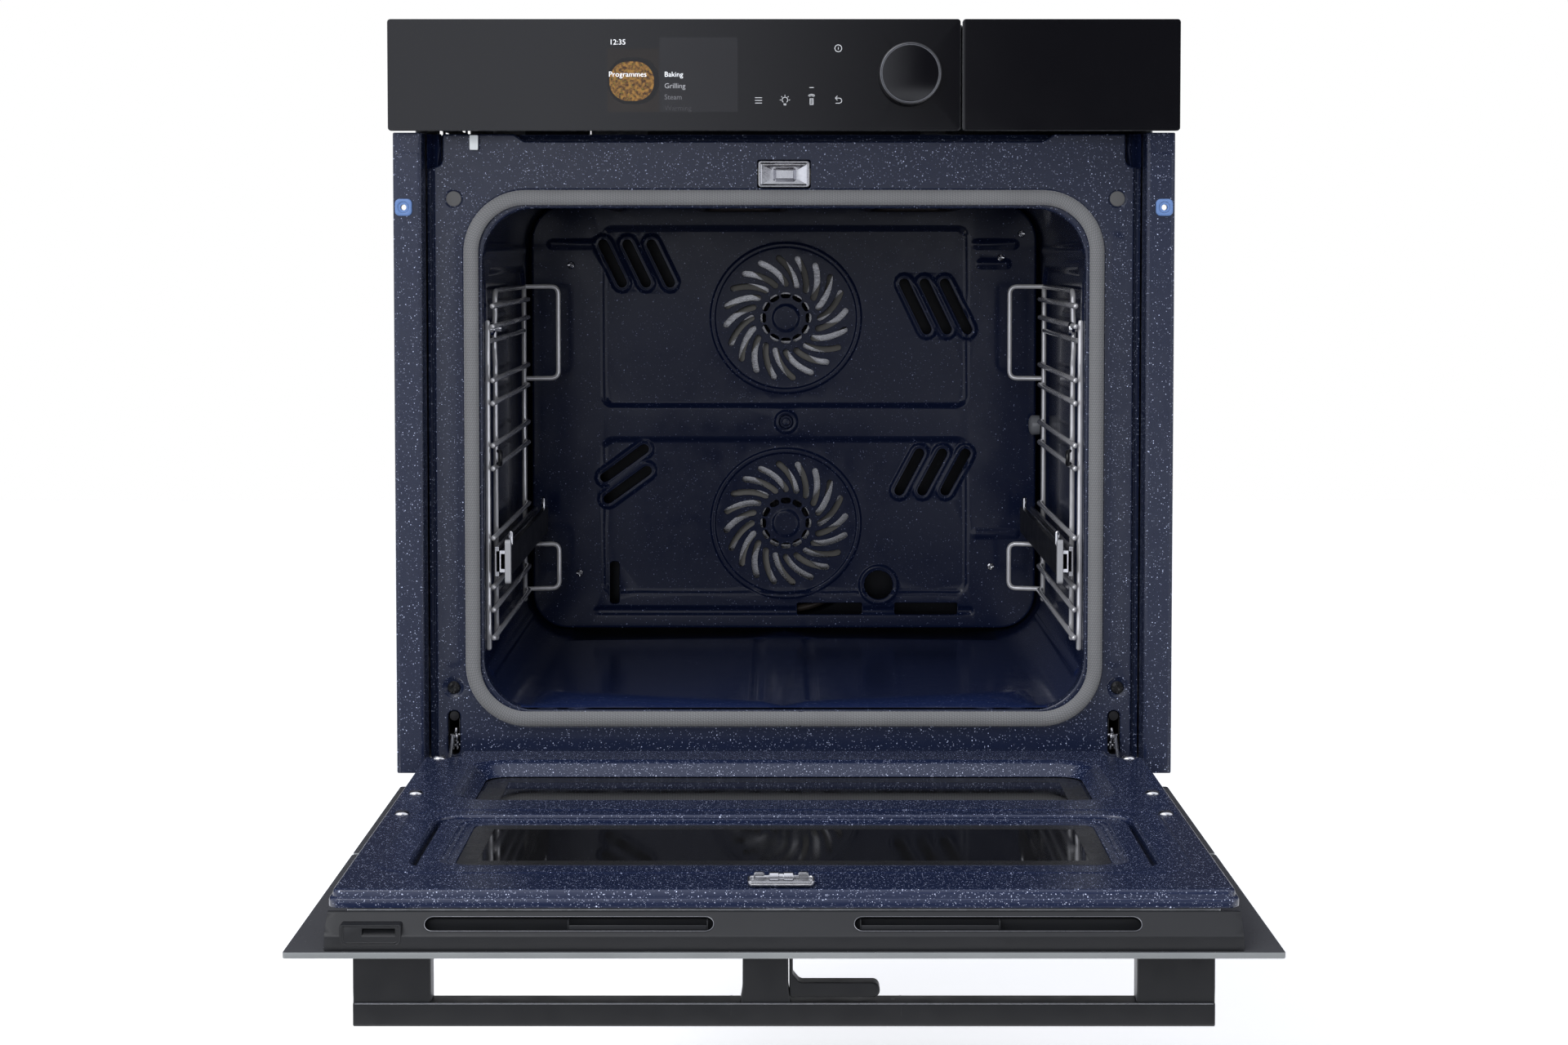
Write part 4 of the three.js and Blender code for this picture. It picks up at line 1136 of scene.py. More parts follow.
def cavity_liner():
    """Enamelled box with round corners, a pressed panel behind each rack and drawn ridges."""
    x, low, high, r, front, back = 236, 46, 446, 38, 46.8, 505
    section = Section(x, low, high, r)
    half, side = section.length / 2, section.at[1 + 14]
    right = lambda z: side + (z - low - r)
    left = lambda z: section.length - right(z)
    outline = Outline([(0, front), (section.length, front), (section.length, back), (0, back)], 0.03, 1, 12)
    reliefs = []
    for at in (right, left):
        span_z = sorted((at(82), at(388)))
        reliefs.append((Outline([(span_z[0], 118), (span_z[1], 118), (span_z[1], 452), (span_z[0], 452)],
                                30, 6, 40), [(-9, -4.2), (0, 0)]))
        inner = sorted((at(112), at(352)))
        reliefs.append((Outline([(inner[0], 196), (inner[1], 196), (inner[1], 300), (inner[0], 300)],
                                20, 6, 40), [(-5, 2.4), (0, 0)]))
        for z in (400, 66):
            reliefs.append((Stroke([(at(z), 96), (at(z), 440)], 4.5), [(-3.5, 1.4), (1.5, 0)]))
    for s in (half - 150, half + 150):
        reliefs.append((Stroke([(s, 100), (s, 440)], 7), [(-6, 2.0), (1.5, 0)]))
    for s in (22, section.length - 22):
        reliefs.append((Stroke([(s, 90), (s, 430)], 5), [(-4, -1.2), (2, 0)]))
    creases = [[(s, front + (back - front) * k / 30) for k in range(31)] for s in section.at[1:-1]]
    piece = pressed("liner_skin", "carcass", LINER_ENAMEL, outline, section.place, ((0, 0),), (),
                    reliefs, creases, thickness=0)
    shell = piece.modifiers.new("thickness", "SOLIDIFY")
    shell.thickness = 1.1 * MM
    shell.offset = -1
    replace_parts(piece, "cavity_liner")
    holes = [(Disc(FAN_X, z, 9, 32), [(0, 0)]) for z in FANS.values()]
    reliefs = [(Disc(FAN_X, z, 92, 60), [(-8, 3), (0, 0)]) for z in FANS.values()]
    # Painted shade: the back wall behind the baffle gets the near-black copy of the enamel.
    pressed("liner_back", "carcass", CHAMBER_ENAMEL_PAINTED_SHADE, box2(-x - 0.6, x + 0.6, low - 0.6, high + 0.6, r, 10),
            facing(back), ((0, 0),), holes, reliefs, thickness=1.0)
    pressed("liner_flange", "carcass", CAVITY_ENAMEL, box2(-250, 250, 30, 447.9, 36, 8), facing(front),
            ((0, 0),), [(box2(-x, x, low, high, r, 14), [(0, 0)])], thickness=0.9)


def fans():
    """Grey bladed wheels seen through the grilles, with their hubs and round heaters."""
    for place, z in FANS.items():
        y0 = deep(494)
        bm = bmesh.new()
        for i in range(14):
            a = 2 * math.pi * i / 14
            rings = []
            for share in (0, 0.25, 0.5, 0.75, 1):
                r, lean = 24 + share * 34.5, a + share * 0.34
                c, s = math.cos(lean), math.sin(lean)
                spot = Vector((FAN_X + r * c, 0, z + r * s))
                side = Vector((-s, 0, c))
                high_edge, low_edge = side * 6.2, side * -3.0
                rings.append([spot + high_edge + Vector((0, y0 - 11.5, 0)),
                              spot + low_edge + Vector((0, y0 - 3.2, 0)),
                              spot + low_edge + Vector((0, y0 - 2.2, 0)),
                              spot + high_edge + Vector((0, y0 - 10.5, 0))])
            loft_into(bm, rings)
        blades = finish_mesh(f"fan_blades_{place}", bm, f"fan_{place}", FAN_STEEL, 30)
        turned(f"fan_disc_{place}", f"fan_{place}", STEEL, (FAN_X, y0, z),
               [(0, 4), (8, 4), (9, 1.4), (58, 1.2), (60, 0.6), (60, -0.6), (22, -0.4), (18, -5),
                (9, -8.5), (8, -10), (0, -10.2)], steps=64)
        turned(f"fan_shaft_{place}", f"fan_{place}", STEEL, (FAN_X, y0, z),
               [(0, 27.6), (3.9, 27.6), (3.9, -12), (3.2, -13), (0, -13.2)], steps=24)
        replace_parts(blades, f"fan_impeller_{place}")
        low, high = span(f"ring_heater_{place}")
        ring = [Vector((FAN_X + 82 * math.cos(2 * math.pi * k / 72), (low.y + low.y + 6.4) / 2,
                        z + 82 * math.sin(2 * math.pi * k / 72))) for k in range(72)]
        bm = bmesh.new()
        made = [[bm.verts.new(p) for p in r] for r in tube_rings(ring, 3.2, 14, True)]
        bridge(bm, made + [made[0]])
        for sign in (-1, 1):
            leg = [Vector((FAN_X + sign * 12, y, z + 81)) for y in (low.y + 3.2, high.y)]
            loft_into(bm, tube_rings(leg, 3.0, 14))
        heater = finish_mesh(f"heater_ring_{place}", bm, "carcass", HEATER, 60)
        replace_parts(heater, f"ring_heater_{place}")


RACK_X, GUIDE_X, STOP_X, WIRE = 232, 227.3, 202, 2.15
RACK_PAIRS = ((119, 97), (175.5, 137), (248, 230), (299, 281), (357, 341))


def rack_paths(sign):
    """Wires of one ladder: posts with joggles, guide pairs, rear post and stop loops."""
    def at(x, d, z):
        return Vector((sign * x, deep(d), z))

    jog = 2.6
    front = bend([at(RACK_X, 80, 88), at(RACK_X, 80, 108), at(RACK_X + 0.4, 80 + jog, 116),
                  at(RACK_X + 0.4, 80 + jog, 300), at(RACK_X, 80, 309), at(RACK_X, 80, 344)], 6)
    second = bend([at(RACK_X, 137, 88), at(RACK_X, 137, 310), at(RACK_X + 0.4, 137 - jog, 320),
                   at(RACK_X + 0.4, 137 - jog, 338), at(RACK_X, 137, 348), at(RACK_X, 137, 368),
                   at(RACK_X, 380, 368)], 9)
    rear = [at(RACK_X, 385, 88), at(RACK_X, 385, 230), at(RACK_X, 385, 368)]
    posts = [front, second, [at(RACK_X, 80, 329), at(RACK_X, 380, 329)]]
    ladder = [rear]
    for pair in RACK_PAIRS:
        for z in pair:
            ladder.append(bend([at(GUIDE_X, 72, z), at(GUIDE_X, 376, z), at(RACK_X - 1, 385, z)], 5))
    for low, high in ((286, 368), (97, 137)):
        ladder.append(bend([at(RACK_X, 386, low), at(STOP_X, 393, low), at(STOP_X, 393, high),
                            at(RACK_X, 386, high)], 7, 7))
    return posts, ladder


def racks():
    for side, sign in SIDES:
        posts, ladder = rack_paths(sign)
        front = tubes(f"rack_front_{side}", "carcass", WIRE_CHROME, posts, WIRE, 14)
        back = tubes(f"rack_ladder_{side}", "carcass", WIRE_CHROME, ladder, WIRE, 14)
        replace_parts(front, f"rack_posts_{side}")
        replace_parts(back, f"side_rack_{side}")
        turned(f"rack_pin_{side}", "carcass", CHROME, (sign * 229, deep(100), 338.5),
               [(0, 6), (2.2, 6), (2.4, 1), (4.6, 0), (5.6, -2.2), (4.6, -4.4), (0, -5.4)], "x")
        clip = bend([(sign * 224.4, deep(84), 243), (sign * 221.5, deep(74), 243),
                     (sign * 221.5, deep(70), 238), (sign * 221.5, deep(74), 233),
                     (sign * 224.4, deep(84), 233)], 3)
        tubes(f"rack_clip_{side}", "carcass", BLACK_PLASTIC, [clip], 1.6, 10)


def rail_profile(x0, x1, z, height, lip):
    """C-section of a rail member, open towards the cavity."""
    a, b = z - height / 2, z + height / 2
    return [(x1, a), (x1, b), (x0, b), (x0, b - lip), (x1 - 0.9, b - lip), (x1 - 0.9, a + lip),
            (x0, a + lip), (x0, a)]


def rails():
    """Telescopic rail on each side: fixed and middle members, ball cages and a capped inner member."""
    for side, sign in SIDES:
        members = ((f"rail_base_{side}", "carcass", f"rail_fixed_{side}", 222, 225.0, 23, 3.4, STEEL),
                   (f"rail_slide_{side}", f"rail_mid_{side}", f"rail_middle_{side}",
                    217.6, 221.5, 17, 2.6, CHROME))
        for name, body, node, x0, x1, height, lip, look in members:
            low, high = span(node)
            z = (low.z + high.z) / 2
            outline = Outline(rail_profile(x0, x1, z, height, lip)[::-1], 0.25, 2)
            rings = [[(sign * p.x, d, p.y) for p in outline.contour()] for d in (low.y, high.y)]
            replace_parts(loft(name, body, look, rings), node)
        low, high = span(f"rail_inner_{side}")
        z = 158.3
        x0, x1 = sorted((sign * 212.7, sign * 216.9))
        body = f"rail_in_{side}"
        shape = box2(deep(62), deep(400), z - 11.4, z + 11.4, 1.2, 3)
        bar = slab(f"rail_bar_{side}", body, BLACK_PLASTIC, shape, beside(x0, 1), 0, x1 - x0, 0.5)
        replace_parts(bar, f"rail_inner_{side}")
        cap = box2(deep(57.8), deep(64.2), z - 17.3, z + 17.3, 3.1, 8)
        slab(f"rail_cap_{side}", body, CAP_GREY, cap, beside(x0 - 0.3, 1), 0, x1 - x0 + 0.6, 0.7)
        pins = [[(sign * 214.8, deep(d), z + 8), (sign * 214.8, deep(d), z + 20.2)] for d in (84, 380)]
        tubes(f"rail_pins_{side}", body, CHROME, pins, 2.0, 16)
        cage = []
        for k in range(24):
            d = 70 + k * 13.4
            for dz in (-7, 7):
                x, level = sign * 217.2, z + dz
                cage.append(((x - 0.35, deep(d), level - 1.7), (x + 0.35, deep(d + 6), level + 1.7)))
        blocks(f"rail_cage_{side}", f"rail_mid_{side}", STEEL, cage, 0.2)


def elements():
    """Smooth tubes of the two hidden heating elements."""
    for node, z, near, far in (("grill_element", 438.5, 120, 440), ("bottom_element", 38, 110, 450)):
        points = []
        for i in range(5):
            x = -150 + 75 * i
            ends = (near, far) if i % 2 else (far, near)
            points += [(x, deep(ends[0]), z), (x, deep(ends[1]), z)]
        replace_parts(tubes(f"{node}_tube", "carcass", HEATER, [bend(points, 22, 7)], 3.3, 14), node)


rear_baffle()
baffle_fittings()
cavity_liner()
fans()
racks()
rails()
elements()


# ---- Door ----
FRAME_TOP = 17.9
RIVET_X, RIVET_DEPTHS = 260, (-12, -147, -218)
PLUG_TOP = 15.8
LOWER_WINDOW = box2(-221, 221, deep(-159), deep(-33), 16, 8)
UPPER_OPENING = box2(-234, 234, deep(-382.7), deep(-223.5), 18, 8)
UPPER_WINDOW = box2(-207.5, 207.5, deep(-360), deep(-237), 9, 7)


def frame_outline():
    """The frame's plan: round outer corners and a notch for each hinge."""
    side, corner = 273.7, 248
    right = [(side, deep(-446)), (side, deep(-6)), (corner, deep(-6)), (corner, deep(20))]
    radii = [9, 4, 7, 5]
    return Outline(right + [(-x, y) for x, y in right[::-1]], radii + radii[::-1], 8, 30)


def door_frame():
    """Enamelled frame with a stepped, rolled border and a bevel down to each window."""
    border = [(0, -10.6), (0.02, -6.9), (0.35, -5.7), (1.0, -5.1), (1.9, -4.9), (2.2, -4.6),
              (2.25, -2.6), (2.7, -1.1), (3.6, -0.25), (4.8, 0)]
    window_rim = [(0, -10.6), (0.3, -10.2), (1.6, -9.4), (6.8, -3.4), (8.6, -1.7), (9.8, -1.2),
                  (11.2, -1.15), (12.6, -0.3), (14, 0)]
    opening_rim = [(0, -10.6), (0, -2.4), (0.5, -0.9), (1.3, -0.2), (2.4, 0)]
    reliefs = []
    for sign in (-1, 1):
        for d in RIVET_DEPTHS:
            reliefs.append((Disc(sign * RIVET_X, deep(d), 7.4, 26), [(-2.5, -0.8), (0.8, 0)]))
    bump = box2(-254, 254, deep(-399), deep(-207), 30, 8)
    reliefs.append((bump, [(-2.0, 0.0), (-0.2, 0.55), (2.4, 0)]))
    piece = pressed("frame_skin", "door", DOOR_ENAMEL, frame_outline(), lying(FRAME_TOP), border,
                    [(LOWER_WINDOW, window_rim), (UPPER_OPENING, opening_rim)], reliefs, thickness=0.8)
    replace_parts(piece, "door_frame")


def pan_outline(inset):
    side, corner = 262 - inset, 246 - inset
    near, notch, far = deep(17) - inset, deep(-9) - inset, deep(-190) + inset
    right = [(side, far), (side, notch), (corner, notch), (corner, near)]
    return Outline(right + [(-x, y) for x, y in right[::-1]], 3, 4, 60)


def frame_pan():
    """Hollow between the frame and the outer glass, as a wall round the lower half."""
    holes = [(box2(-234, 234, deep(-172), deep(-20), 12, 4), [(0, -1), (0, -0.3), (0.3, 0)])]
    wall = [(0, -24.4), (0, -1.2), (0.4, -0.4), (1.2, 0)]
    pressed("frame_pan", "door", ZINC, pan_outline(0), lying(9.6), wall, holes, thickness=0.9)


def rivets():
    """Domed chrome rivets in dimples along the frame's sides."""
    for side, sign in SIDES:
        for i, d in enumerate(RIVET_DEPTHS):
            turned(f"frame_rivet_{side}_{i}", "door", CHROME,
                   (sign * RIVET_X, deep(d), FRAME_TOP - 0.8),
                   [(0, -1.5), (4.9, -1.5), (5.2, 0), (5.0, 0.9), (4.2, 1.8), (2.6, 2.5), (0, 2.8)],
                   "z", 36)


def window(name, body, shape, low, high, node):
    """A dark pane in place of a CAD window."""
    pane = slab(name, body, WINDOW_GLASS, shape, lying(0), low, high, 0.5)
    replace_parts(pane, node)


def windows():
    low = box2(-229, 229, deep(-167), deep(-25), 16, 6)
    window("lower_pane", "door", low, 3.1, 6.6, "lower_window")
    high = box2(-214.5, 214.5, deep(-367), deep(-230), 14, 6)
    window("upper_pane", "top_door", high, 10.0, 13.6, "upper_window")
    for name, body, shape, z, width in (
            ("lower_frit", "door", box2(-219, 219, deep(-157), deep(-35), 15, 8), 6.62, 15),
            ("upper_frit", "top_door", box2(-207, 207, deep(-359.5), deep(-237.5), 9, 8), 13.62, 13)):
        bm = bmesh.new()
        rings = []
        for reach, h in ((0, 0), (0, 0.12), (width, 0.12), (width, 0)):
            rings.append([bm.verts.new((p.x, p.y, z + h)) for p in shape.contour(-reach)])
        bridge(bm, rings + [rings[0]])
        finish_mesh(name, bm, body, FRIT, 30)


def outer_glass():
    """Two printed glasses: black outside, dark grey on the inner face, with ground edges."""
    for node, body, far, near in (("outer_glass_lower", "door", -194, 43.4),
                                  ("outer_glass_upper", "top_door", -464.6, -198)):
        shape = box2(-297.5, 297.5, deep(far), deep(near), 2.2, 5, 60)
        piece = slab(f"{node}_sheet", body, PRINTED_GLASS, shape, lying(0), -18.8, -14.8, 0.7)
        paint(piece, BLACK_GLASS, lambda centre, normal: normal.z < -0.9)
        paint(piece, GLASS_EDGE, lambda centre, normal: abs(normal.z) < 0.9)
        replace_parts(piece, node)


def top_plate():
    """Enamelled plug that fills the frame's opening, on the pan behind the upper window."""
    plug = box2(-231.4, 231.4, deep(-379.9), deep(-225.5), 15, 8)
    border = [(0, -9), (0, -2.2), (0.5, -0.8), (1.3, -0.2), (2.4, 0)]
    rim = [(0, -1.75), (0.5, -1.7), (4.0, -1.5), (6.0, -0.9), (7.0, -0.75), (8.6, -0.7), (10, -0.1), (11, 0)]
    piece = pressed("plug_skin", "top_door", DOOR_ENAMEL, plug, lying(PLUG_TOP), border,
                    [(UPPER_WINDOW, rim)], thickness=0.8)
    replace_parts(piece, "top_door_plate")
    pan = box2(-262, 262, deep(-444.5), deep(-204), 2.5, 4)
    well = box2(-229, 229, deep(-378), deep(-228), 12, 6)
    pressed("top_pan", "top_door", ZINC, pan, lying(6.8), [(0, -21.3), (0, -1.2), (0.4, -0.4), (1.2, 0)],
            [(well, [(0, 0.4), (0.2, 0.1), (0.6, 0)])], thickness=0.9)


def catch():
    """Bright catch: a lipped base, two bent tabs and a roller between them."""
    low, high = span("door_catch")
    z = low.z
    base = box2(low.x, high.x, low.y, high.y, 1.6, 4)
    plate = pressed("catch_base", "door", STEEL, base, lying(z + 1.4),
                    [(0, 2.6), (0.05, 1.0), (0.5, 0.3), (1.4, 0)], thickness=1.0)
    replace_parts(plate, "door_catch")
    for i, (x0, x1) in enumerate(((-18.3, -11.7), (8.5, 15.0))):
        shape = box2(x0, x1, z + 0.5, z + 7.4, 1.5, 5)
        slab(f"catch_tab_{i}", "door", STEEL, shape, behind(low.y + 9.2), 0, 2.4, 0.5)
        slab(f"catch_foot_{i}", "door", STEEL, box2(x0, x1, low.y + 3, low.y + 11, 1.2, 4),
             lying(z + 1.3), 0, 1.3, 0.4)
    roll = [(0, -9.2), (2.1, -9.2), (2.8, -8.6), (2.8, -3.4), (2.3, -2.9), (2.3, -0.6), (2.8, 0),
            (2.8, 5.3), (2.1, 5.9), (0, 5.9)]
    turned("catch_roller", "door", CHROME, (0, low.y + 10, z + 4.5), roll, "x", 28)
    tubes("catch_axle", "door", STEEL, [[(-17, low.y + 10, z + 4.5), (13.6, low.y + 10, z + 4.5)]], 0.95, 12)


def latch():
    low, high = span("latch_hook")
    y0 = low.y
    outline = Outline([(y0, 5.4), (y0 + 5.8, 5.4), (y0 + 5.8, -2), (y0 + 16.2, -2), (y0 + 16.2, -0.5),
                       (y0 + 7.2, -0.5), (y0 + 7.2, 6.8), (y0, 6.8)], 0.4, 3)
    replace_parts(swept("latch_strip", "latch", CHROME, outline, low.x, high.x, "x"), "latch_hook")


door_frame()
frame_pan()
rivets()
windows()
outer_glass()
top_plate()
catch()
latch()


# ---- Door's top trim and handle ----
TRIM_SECTION = [(-462.3, -14.5), (-462.3, -6.4), (-462.1, -5.9), (-461.7, -5.3), (-448.9, 5.1),
                (-448.3, 5.6), (-447.6, 5.85), (-446.0, 5.75), (-445.4, 5.4), (-445.2, 4.8), (-445.2, -14.5)]


class Strip:
    """A bent strip along X, unrolled: v runs along its section."""

    def __init__(self, section):
        self.points = [Vector((deep(d), z)) for d, z in section]
        self.at = [0.0]
        for a, b in zip(self.points, self.points[1:]):
            self.at.append(self.at[-1] + (b - a).length)

    def place(self, u, v, h):
        i = min(max(int(np.searchsorted(self.at, v)) - 1, 0), len(self.at) - 2)
        t = (v - self.at[i]) / (self.at[i + 1] - self.at[i])
        a, b = self.points[i], self.points[i + 1]
        along = (b - a).normalized()
        spot = a.lerp(b, min(max(t, 0), 1))
        return (u, spot.x - along.y * h, spot.y + along.x * h)


def top_trim():
    """Satin cap: a face and a slope with two long air slots, its ends, louvres and floor."""
    strip = Strip(TRIM_SECTION)
    length = strip.at[-1]
    slope = (strip.at[3] + strip.at[4]) / 2
    outline = Outline([(-273, 0), (273, 0), (273, length), (-273, length)], [0.1] * 4, 1, 6)
    creases = [[(-272.8 + 545.6 * k / 90, v) for k in range(91)] for v in strip.at[1:-1]]
    rim = [(0, -1.8), (0, -0.35), (0.25, -0.1), (0.6, 0)]
    slots = [box2(x0, x1, slope - 5.2, slope + 5.2, 5, 7, 12) for x0, x1 in ((-214, -42), (42, 213))]
    piece = pressed("trim_cap", "top_door", DARK_TRIM, outline, strip.place, ((0, 0),),
                    [(s, rim) for s in slots], (), creases, thickness=1.2)
    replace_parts(piece, "top_trim")
    for side, sign in SIDES:
        ends = sorted((sign * 272.9, sign * 271.6))
        end = Outline([(deep(d), z) for d, z in ((-462.2, -14.4), (-445.3, -14.4), (-445.3, 4.9),
                                                 (-447.6, 5.7), (-448.6, 5.2), (-461.8, -5.6))], 0.3, 3)
        swept(f"trim_end_{side}", "top_door", DARK_TRIM, end, *ends, "x")
    # Painted highlight: thin light tubes round each slot stand for the light on the slots' rolled edges.
    edges = [[strip.place(p.x, p.y, 0.12) for p in s.contour(0.1)] for s in slots]
    bm = bmesh.new()
    for ring in edges:
        path = [Vector(p) for p in ring]
        made = [[bm.verts.new(p) for p in r] for r in tube_rings(path, 0.32, 8, True)]
        bridge(bm, made + [made[0]])
    finish_mesh("slot_painted_highlights", bm, "top_door", RIM_METAL_AND_HIGHLIGHT, 60)
    louvres = []
    for x0, x1 in ((-128, -46), (46, 128)):
        louvres.append(((x0, deep(-457), -4.6), (x1, deep(-455.8), -0.5)))
        louvres.append(((x0 - 0.8, deep(-457), -4.6), (x0, deep(-450), 2.2)))
        louvres.append(((x1, deep(-457), -4.6), (x1 + 0.8, deep(-450), 2.2)))
    blocks("trim_louvres", "top_door", DARK_TRIM, louvres, 0.3)
    blocks("trim_floor", "top_door", BLACK_PLASTIC,
           [((-271, deep(-460), -9.4), (271, deep(-447.2), -8.4))], 0.3)


def trim_bracket():
    """Pocket block at the left end of the cap, with a rounded lower edge and a framed mouth."""
    outer = Outline([(-263.7, -11.6), (-227, -11.6), (-227, 1.2), (-263.7, 1.2)], [3.6, 3.6, 1.5, 1.5], 6)
    inner = Outline([(-261.6, -9.8), (-229.1, -9.8), (-229.1, 0.4), (-261.6, 0.4)], [2.4, 2.4, 1, 1], 6)
    pocket = box2(-250.5, -230.7, -7.8, -1.3, 0.8, 3)
    face = deep(-462.25)
    pressed("bracket_face", "top_door", DARK_TRIM, outer, lambda u, v, h: (u, face - h, v),
            [(0, -11), (0, -0.2), (0.3, 0.2), (0.9, 0.3), (1.3, 0)],
            [(pocket, [(0, -8.5), (0, -0.5), (0.5, 0)])],
            [(inner, [(-0.5, 0), (-0.2, 0.28), (0.1, 0.28), (0.5, 0)])], thickness=0.8)
    blocks("bracket_floor", "top_door", BLACK_PLASTIC,
           [((-251, deep(-454.4), -8.4), (-230.2, deep(-453.6), -0.7))], 0.2)


def handle():
    """Dark bar under the door's edge on two end posts and a middle post, with a thin light strip along its
    top edge as a painted highlight.
    """
    x, post, low = 260.4, 213.4, BAR_LOW
    near, far = deep(-416.6), deep(-435)
    top = -53.4
    bar = Outline([(far, low.z), (near, low.z), (near, top), (far, top)], [1.6, 1.6, 1.2, 1.2], 6)
    piece = swept("bar_body", "top_door", HANDLE, bar, -x, x, "x")
    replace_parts(piece, "handle_bar")
    seams = []
    for seam in (-32, 70.8):
        seams.append(((seam - 0.25, far - 0.02, top - 7.5), (seam + 0.25, near + 0.02, top + 0.06)))
    blocks("bar_seams", "top_door", BLACK_PLASTIC, seams, 0.08)
    # Painted highlight: a thin strip of light metal along the bar's top front edge stands for the light that
    # the edge catches.
    line = Outline([(far - 0.06, top - 0.75), (far + 0.5, top - 0.75), (far + 0.5, top + 0.06),
                    (far - 0.06, top + 0.06)], 0.15, 2)
    swept("bar_painted_highlight", "top_door", RIM_METAL_AND_HIGHLIGHT, line, -x + 0.6, x - 0.6, "x")
    for name, x0, x1 in (("left", -x, -post), ("middle", -25, 2.6), ("right", post, x)):
        outline = box2(x0, x1, far + 1, near - 1, 1.1, 4)
        rings = []
        flare = 1.6 if name == "middle" else 0
        for z, grow in ((top - 0.6, flare), (top + 3, flare * 0.6), (top + 9, 0.1), (-19.1, 0)):
            ring = outline.contour()
            middle = (x0 + x1) / 2
            rings.append([(middle + (p.x - middle) * (1 + 2 * grow / (x1 - x0)), p.y, z) for p in ring])
        loft(f"bar_post_{name}", "top_door", HANDLE, rings)
    # Painted light: thin grey plates on the end posts' inner faces stand for the light on those sides.
    painted_light_strips = []
    for edge in (-post, post):
        out = math.copysign(1, edge)
        painted_light_strips.append(((min(edge, edge - out * 0.12), far + 2.2, top + 0.4),
                       (max(edge, edge - out * 0.12), near - 2.2, -19.4)))
    blocks("post_painted_light", "top_door", LIT_FACE_AND_PIN_GREY, painted_light_strips, 0.05)
    turned("bar_pin", "top_door", LIT_FACE_AND_PIN_GREY, (66, far + 9, top - 0.4),
           [(0, -1), (1.5, -1), (1.5, 0.35), (1.1, 0.55), (0, 0.55)], "z", 24)


def lever():
    """L-shaped release: a leg beside the middle post that turns into a round-ended finger arm."""
    low, high = span("handle_lever")
    outline = Outline([(3.2, low.z), (58, low.z), (58, -41.8), (9.6, -41.8), (5.4, -36.8), (5.4, high.z),
                       (3.2, high.z)], [2.2, 4.2, 4.2, 4.4, 2.5, 0.6, 0.6], 8)
    piece = slab("lever_arm", "lever", HANDLE, outline, lambda u, v, h: (u, high.y - h, v), 0,
                 high.y - low.y, 0.9)
    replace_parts(piece, "handle_lever")


top_trim()
trim_bracket()
handle()
lever()


# ---- Control panel ----
FACE = PANEL_LOW.y


def printed(name, look, shapes, lift=0.05):
    """Thin light prints on the panel's face, one piece for all of them."""
    bm = bmesh.new()
    for shape in shapes:
        outer, inner = shape if isinstance(shape, tuple) else (shape, None)
        rings = [[(p.x, FACE + 0.02, p.y) for p in outer.contour()],
                 [(p.x, FACE - lift, p.y) for p in outer.contour()]]
        if inner is None:
            loft_into(bm, rings)
        else:
            rings += [[(p.x, FACE - lift, p.y) for p in inner.contour()],
                      [(p.x, FACE + 0.02, p.y) for p in inner.contour()]]
            made = [[bm.verts.new(p) for p in ring] for ring in rings]
            bridge(bm, made + [made[0]])
    return finish_mesh(name, bm, "carcass", look, 40)


def words(name, text, x, z, size, look):
    """Small generic words on the screen, starting at x."""
    lettering(name, text, (x, FACE - 0.1, z), size, look, extrude=0.03 * MM, resolution_u=3)


def panel_faces():
    """Two black glasses with ground edges and a hole for the knob's shaft."""
    shape = box2(PANEL_LOW.x, PANEL_HIGH.x, PANEL_LOW.z, PANEL_HIGH.z, 2.4, 6, 60)
    hole = Disc(KNOB_X, KNOB_Z, 5.4, 32)
    left = slab("panel_sheet", "carcass", BLACK_GLASS, shape, facing(0), -4, 0, 0.45, [hole])
    paint(left, GLASS_EDGE, lambda c, n: abs(n.y) < 0.75 and c.y < FACE + 0.5)
    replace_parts(left, "panel_glass")
    shape = box2(DRAWER_LOW.x, DRAWER_HIGH.x, DRAWER_LOW.z, DRAWER_HIGH.z, 2.4, 6, 60)
    right = slab("drawer_sheet", "water_drawer", BLACK_GLASS, shape, facing(0), -4, 0, 0.45)
    paint(right, GLASS_EDGE, lambda c, n: abs(n.y) < 0.75 and c.y < FACE + 0.5)
    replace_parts(right, "drawer_front")
    back = box2(DRAWER_LOW.x + 1.5, DRAWER_HIGH.x - 1.5, DRAWER_LOW.z + 1.2, DRAWER_HIGH.z - 1.2, 2, 4)
    slab("drawer_backing", "water_drawer", DARK_PLASTIC, back, facing(0),
         -DRAWER_HIGH.y + FACE + 0.2, -4.05, 0.8)


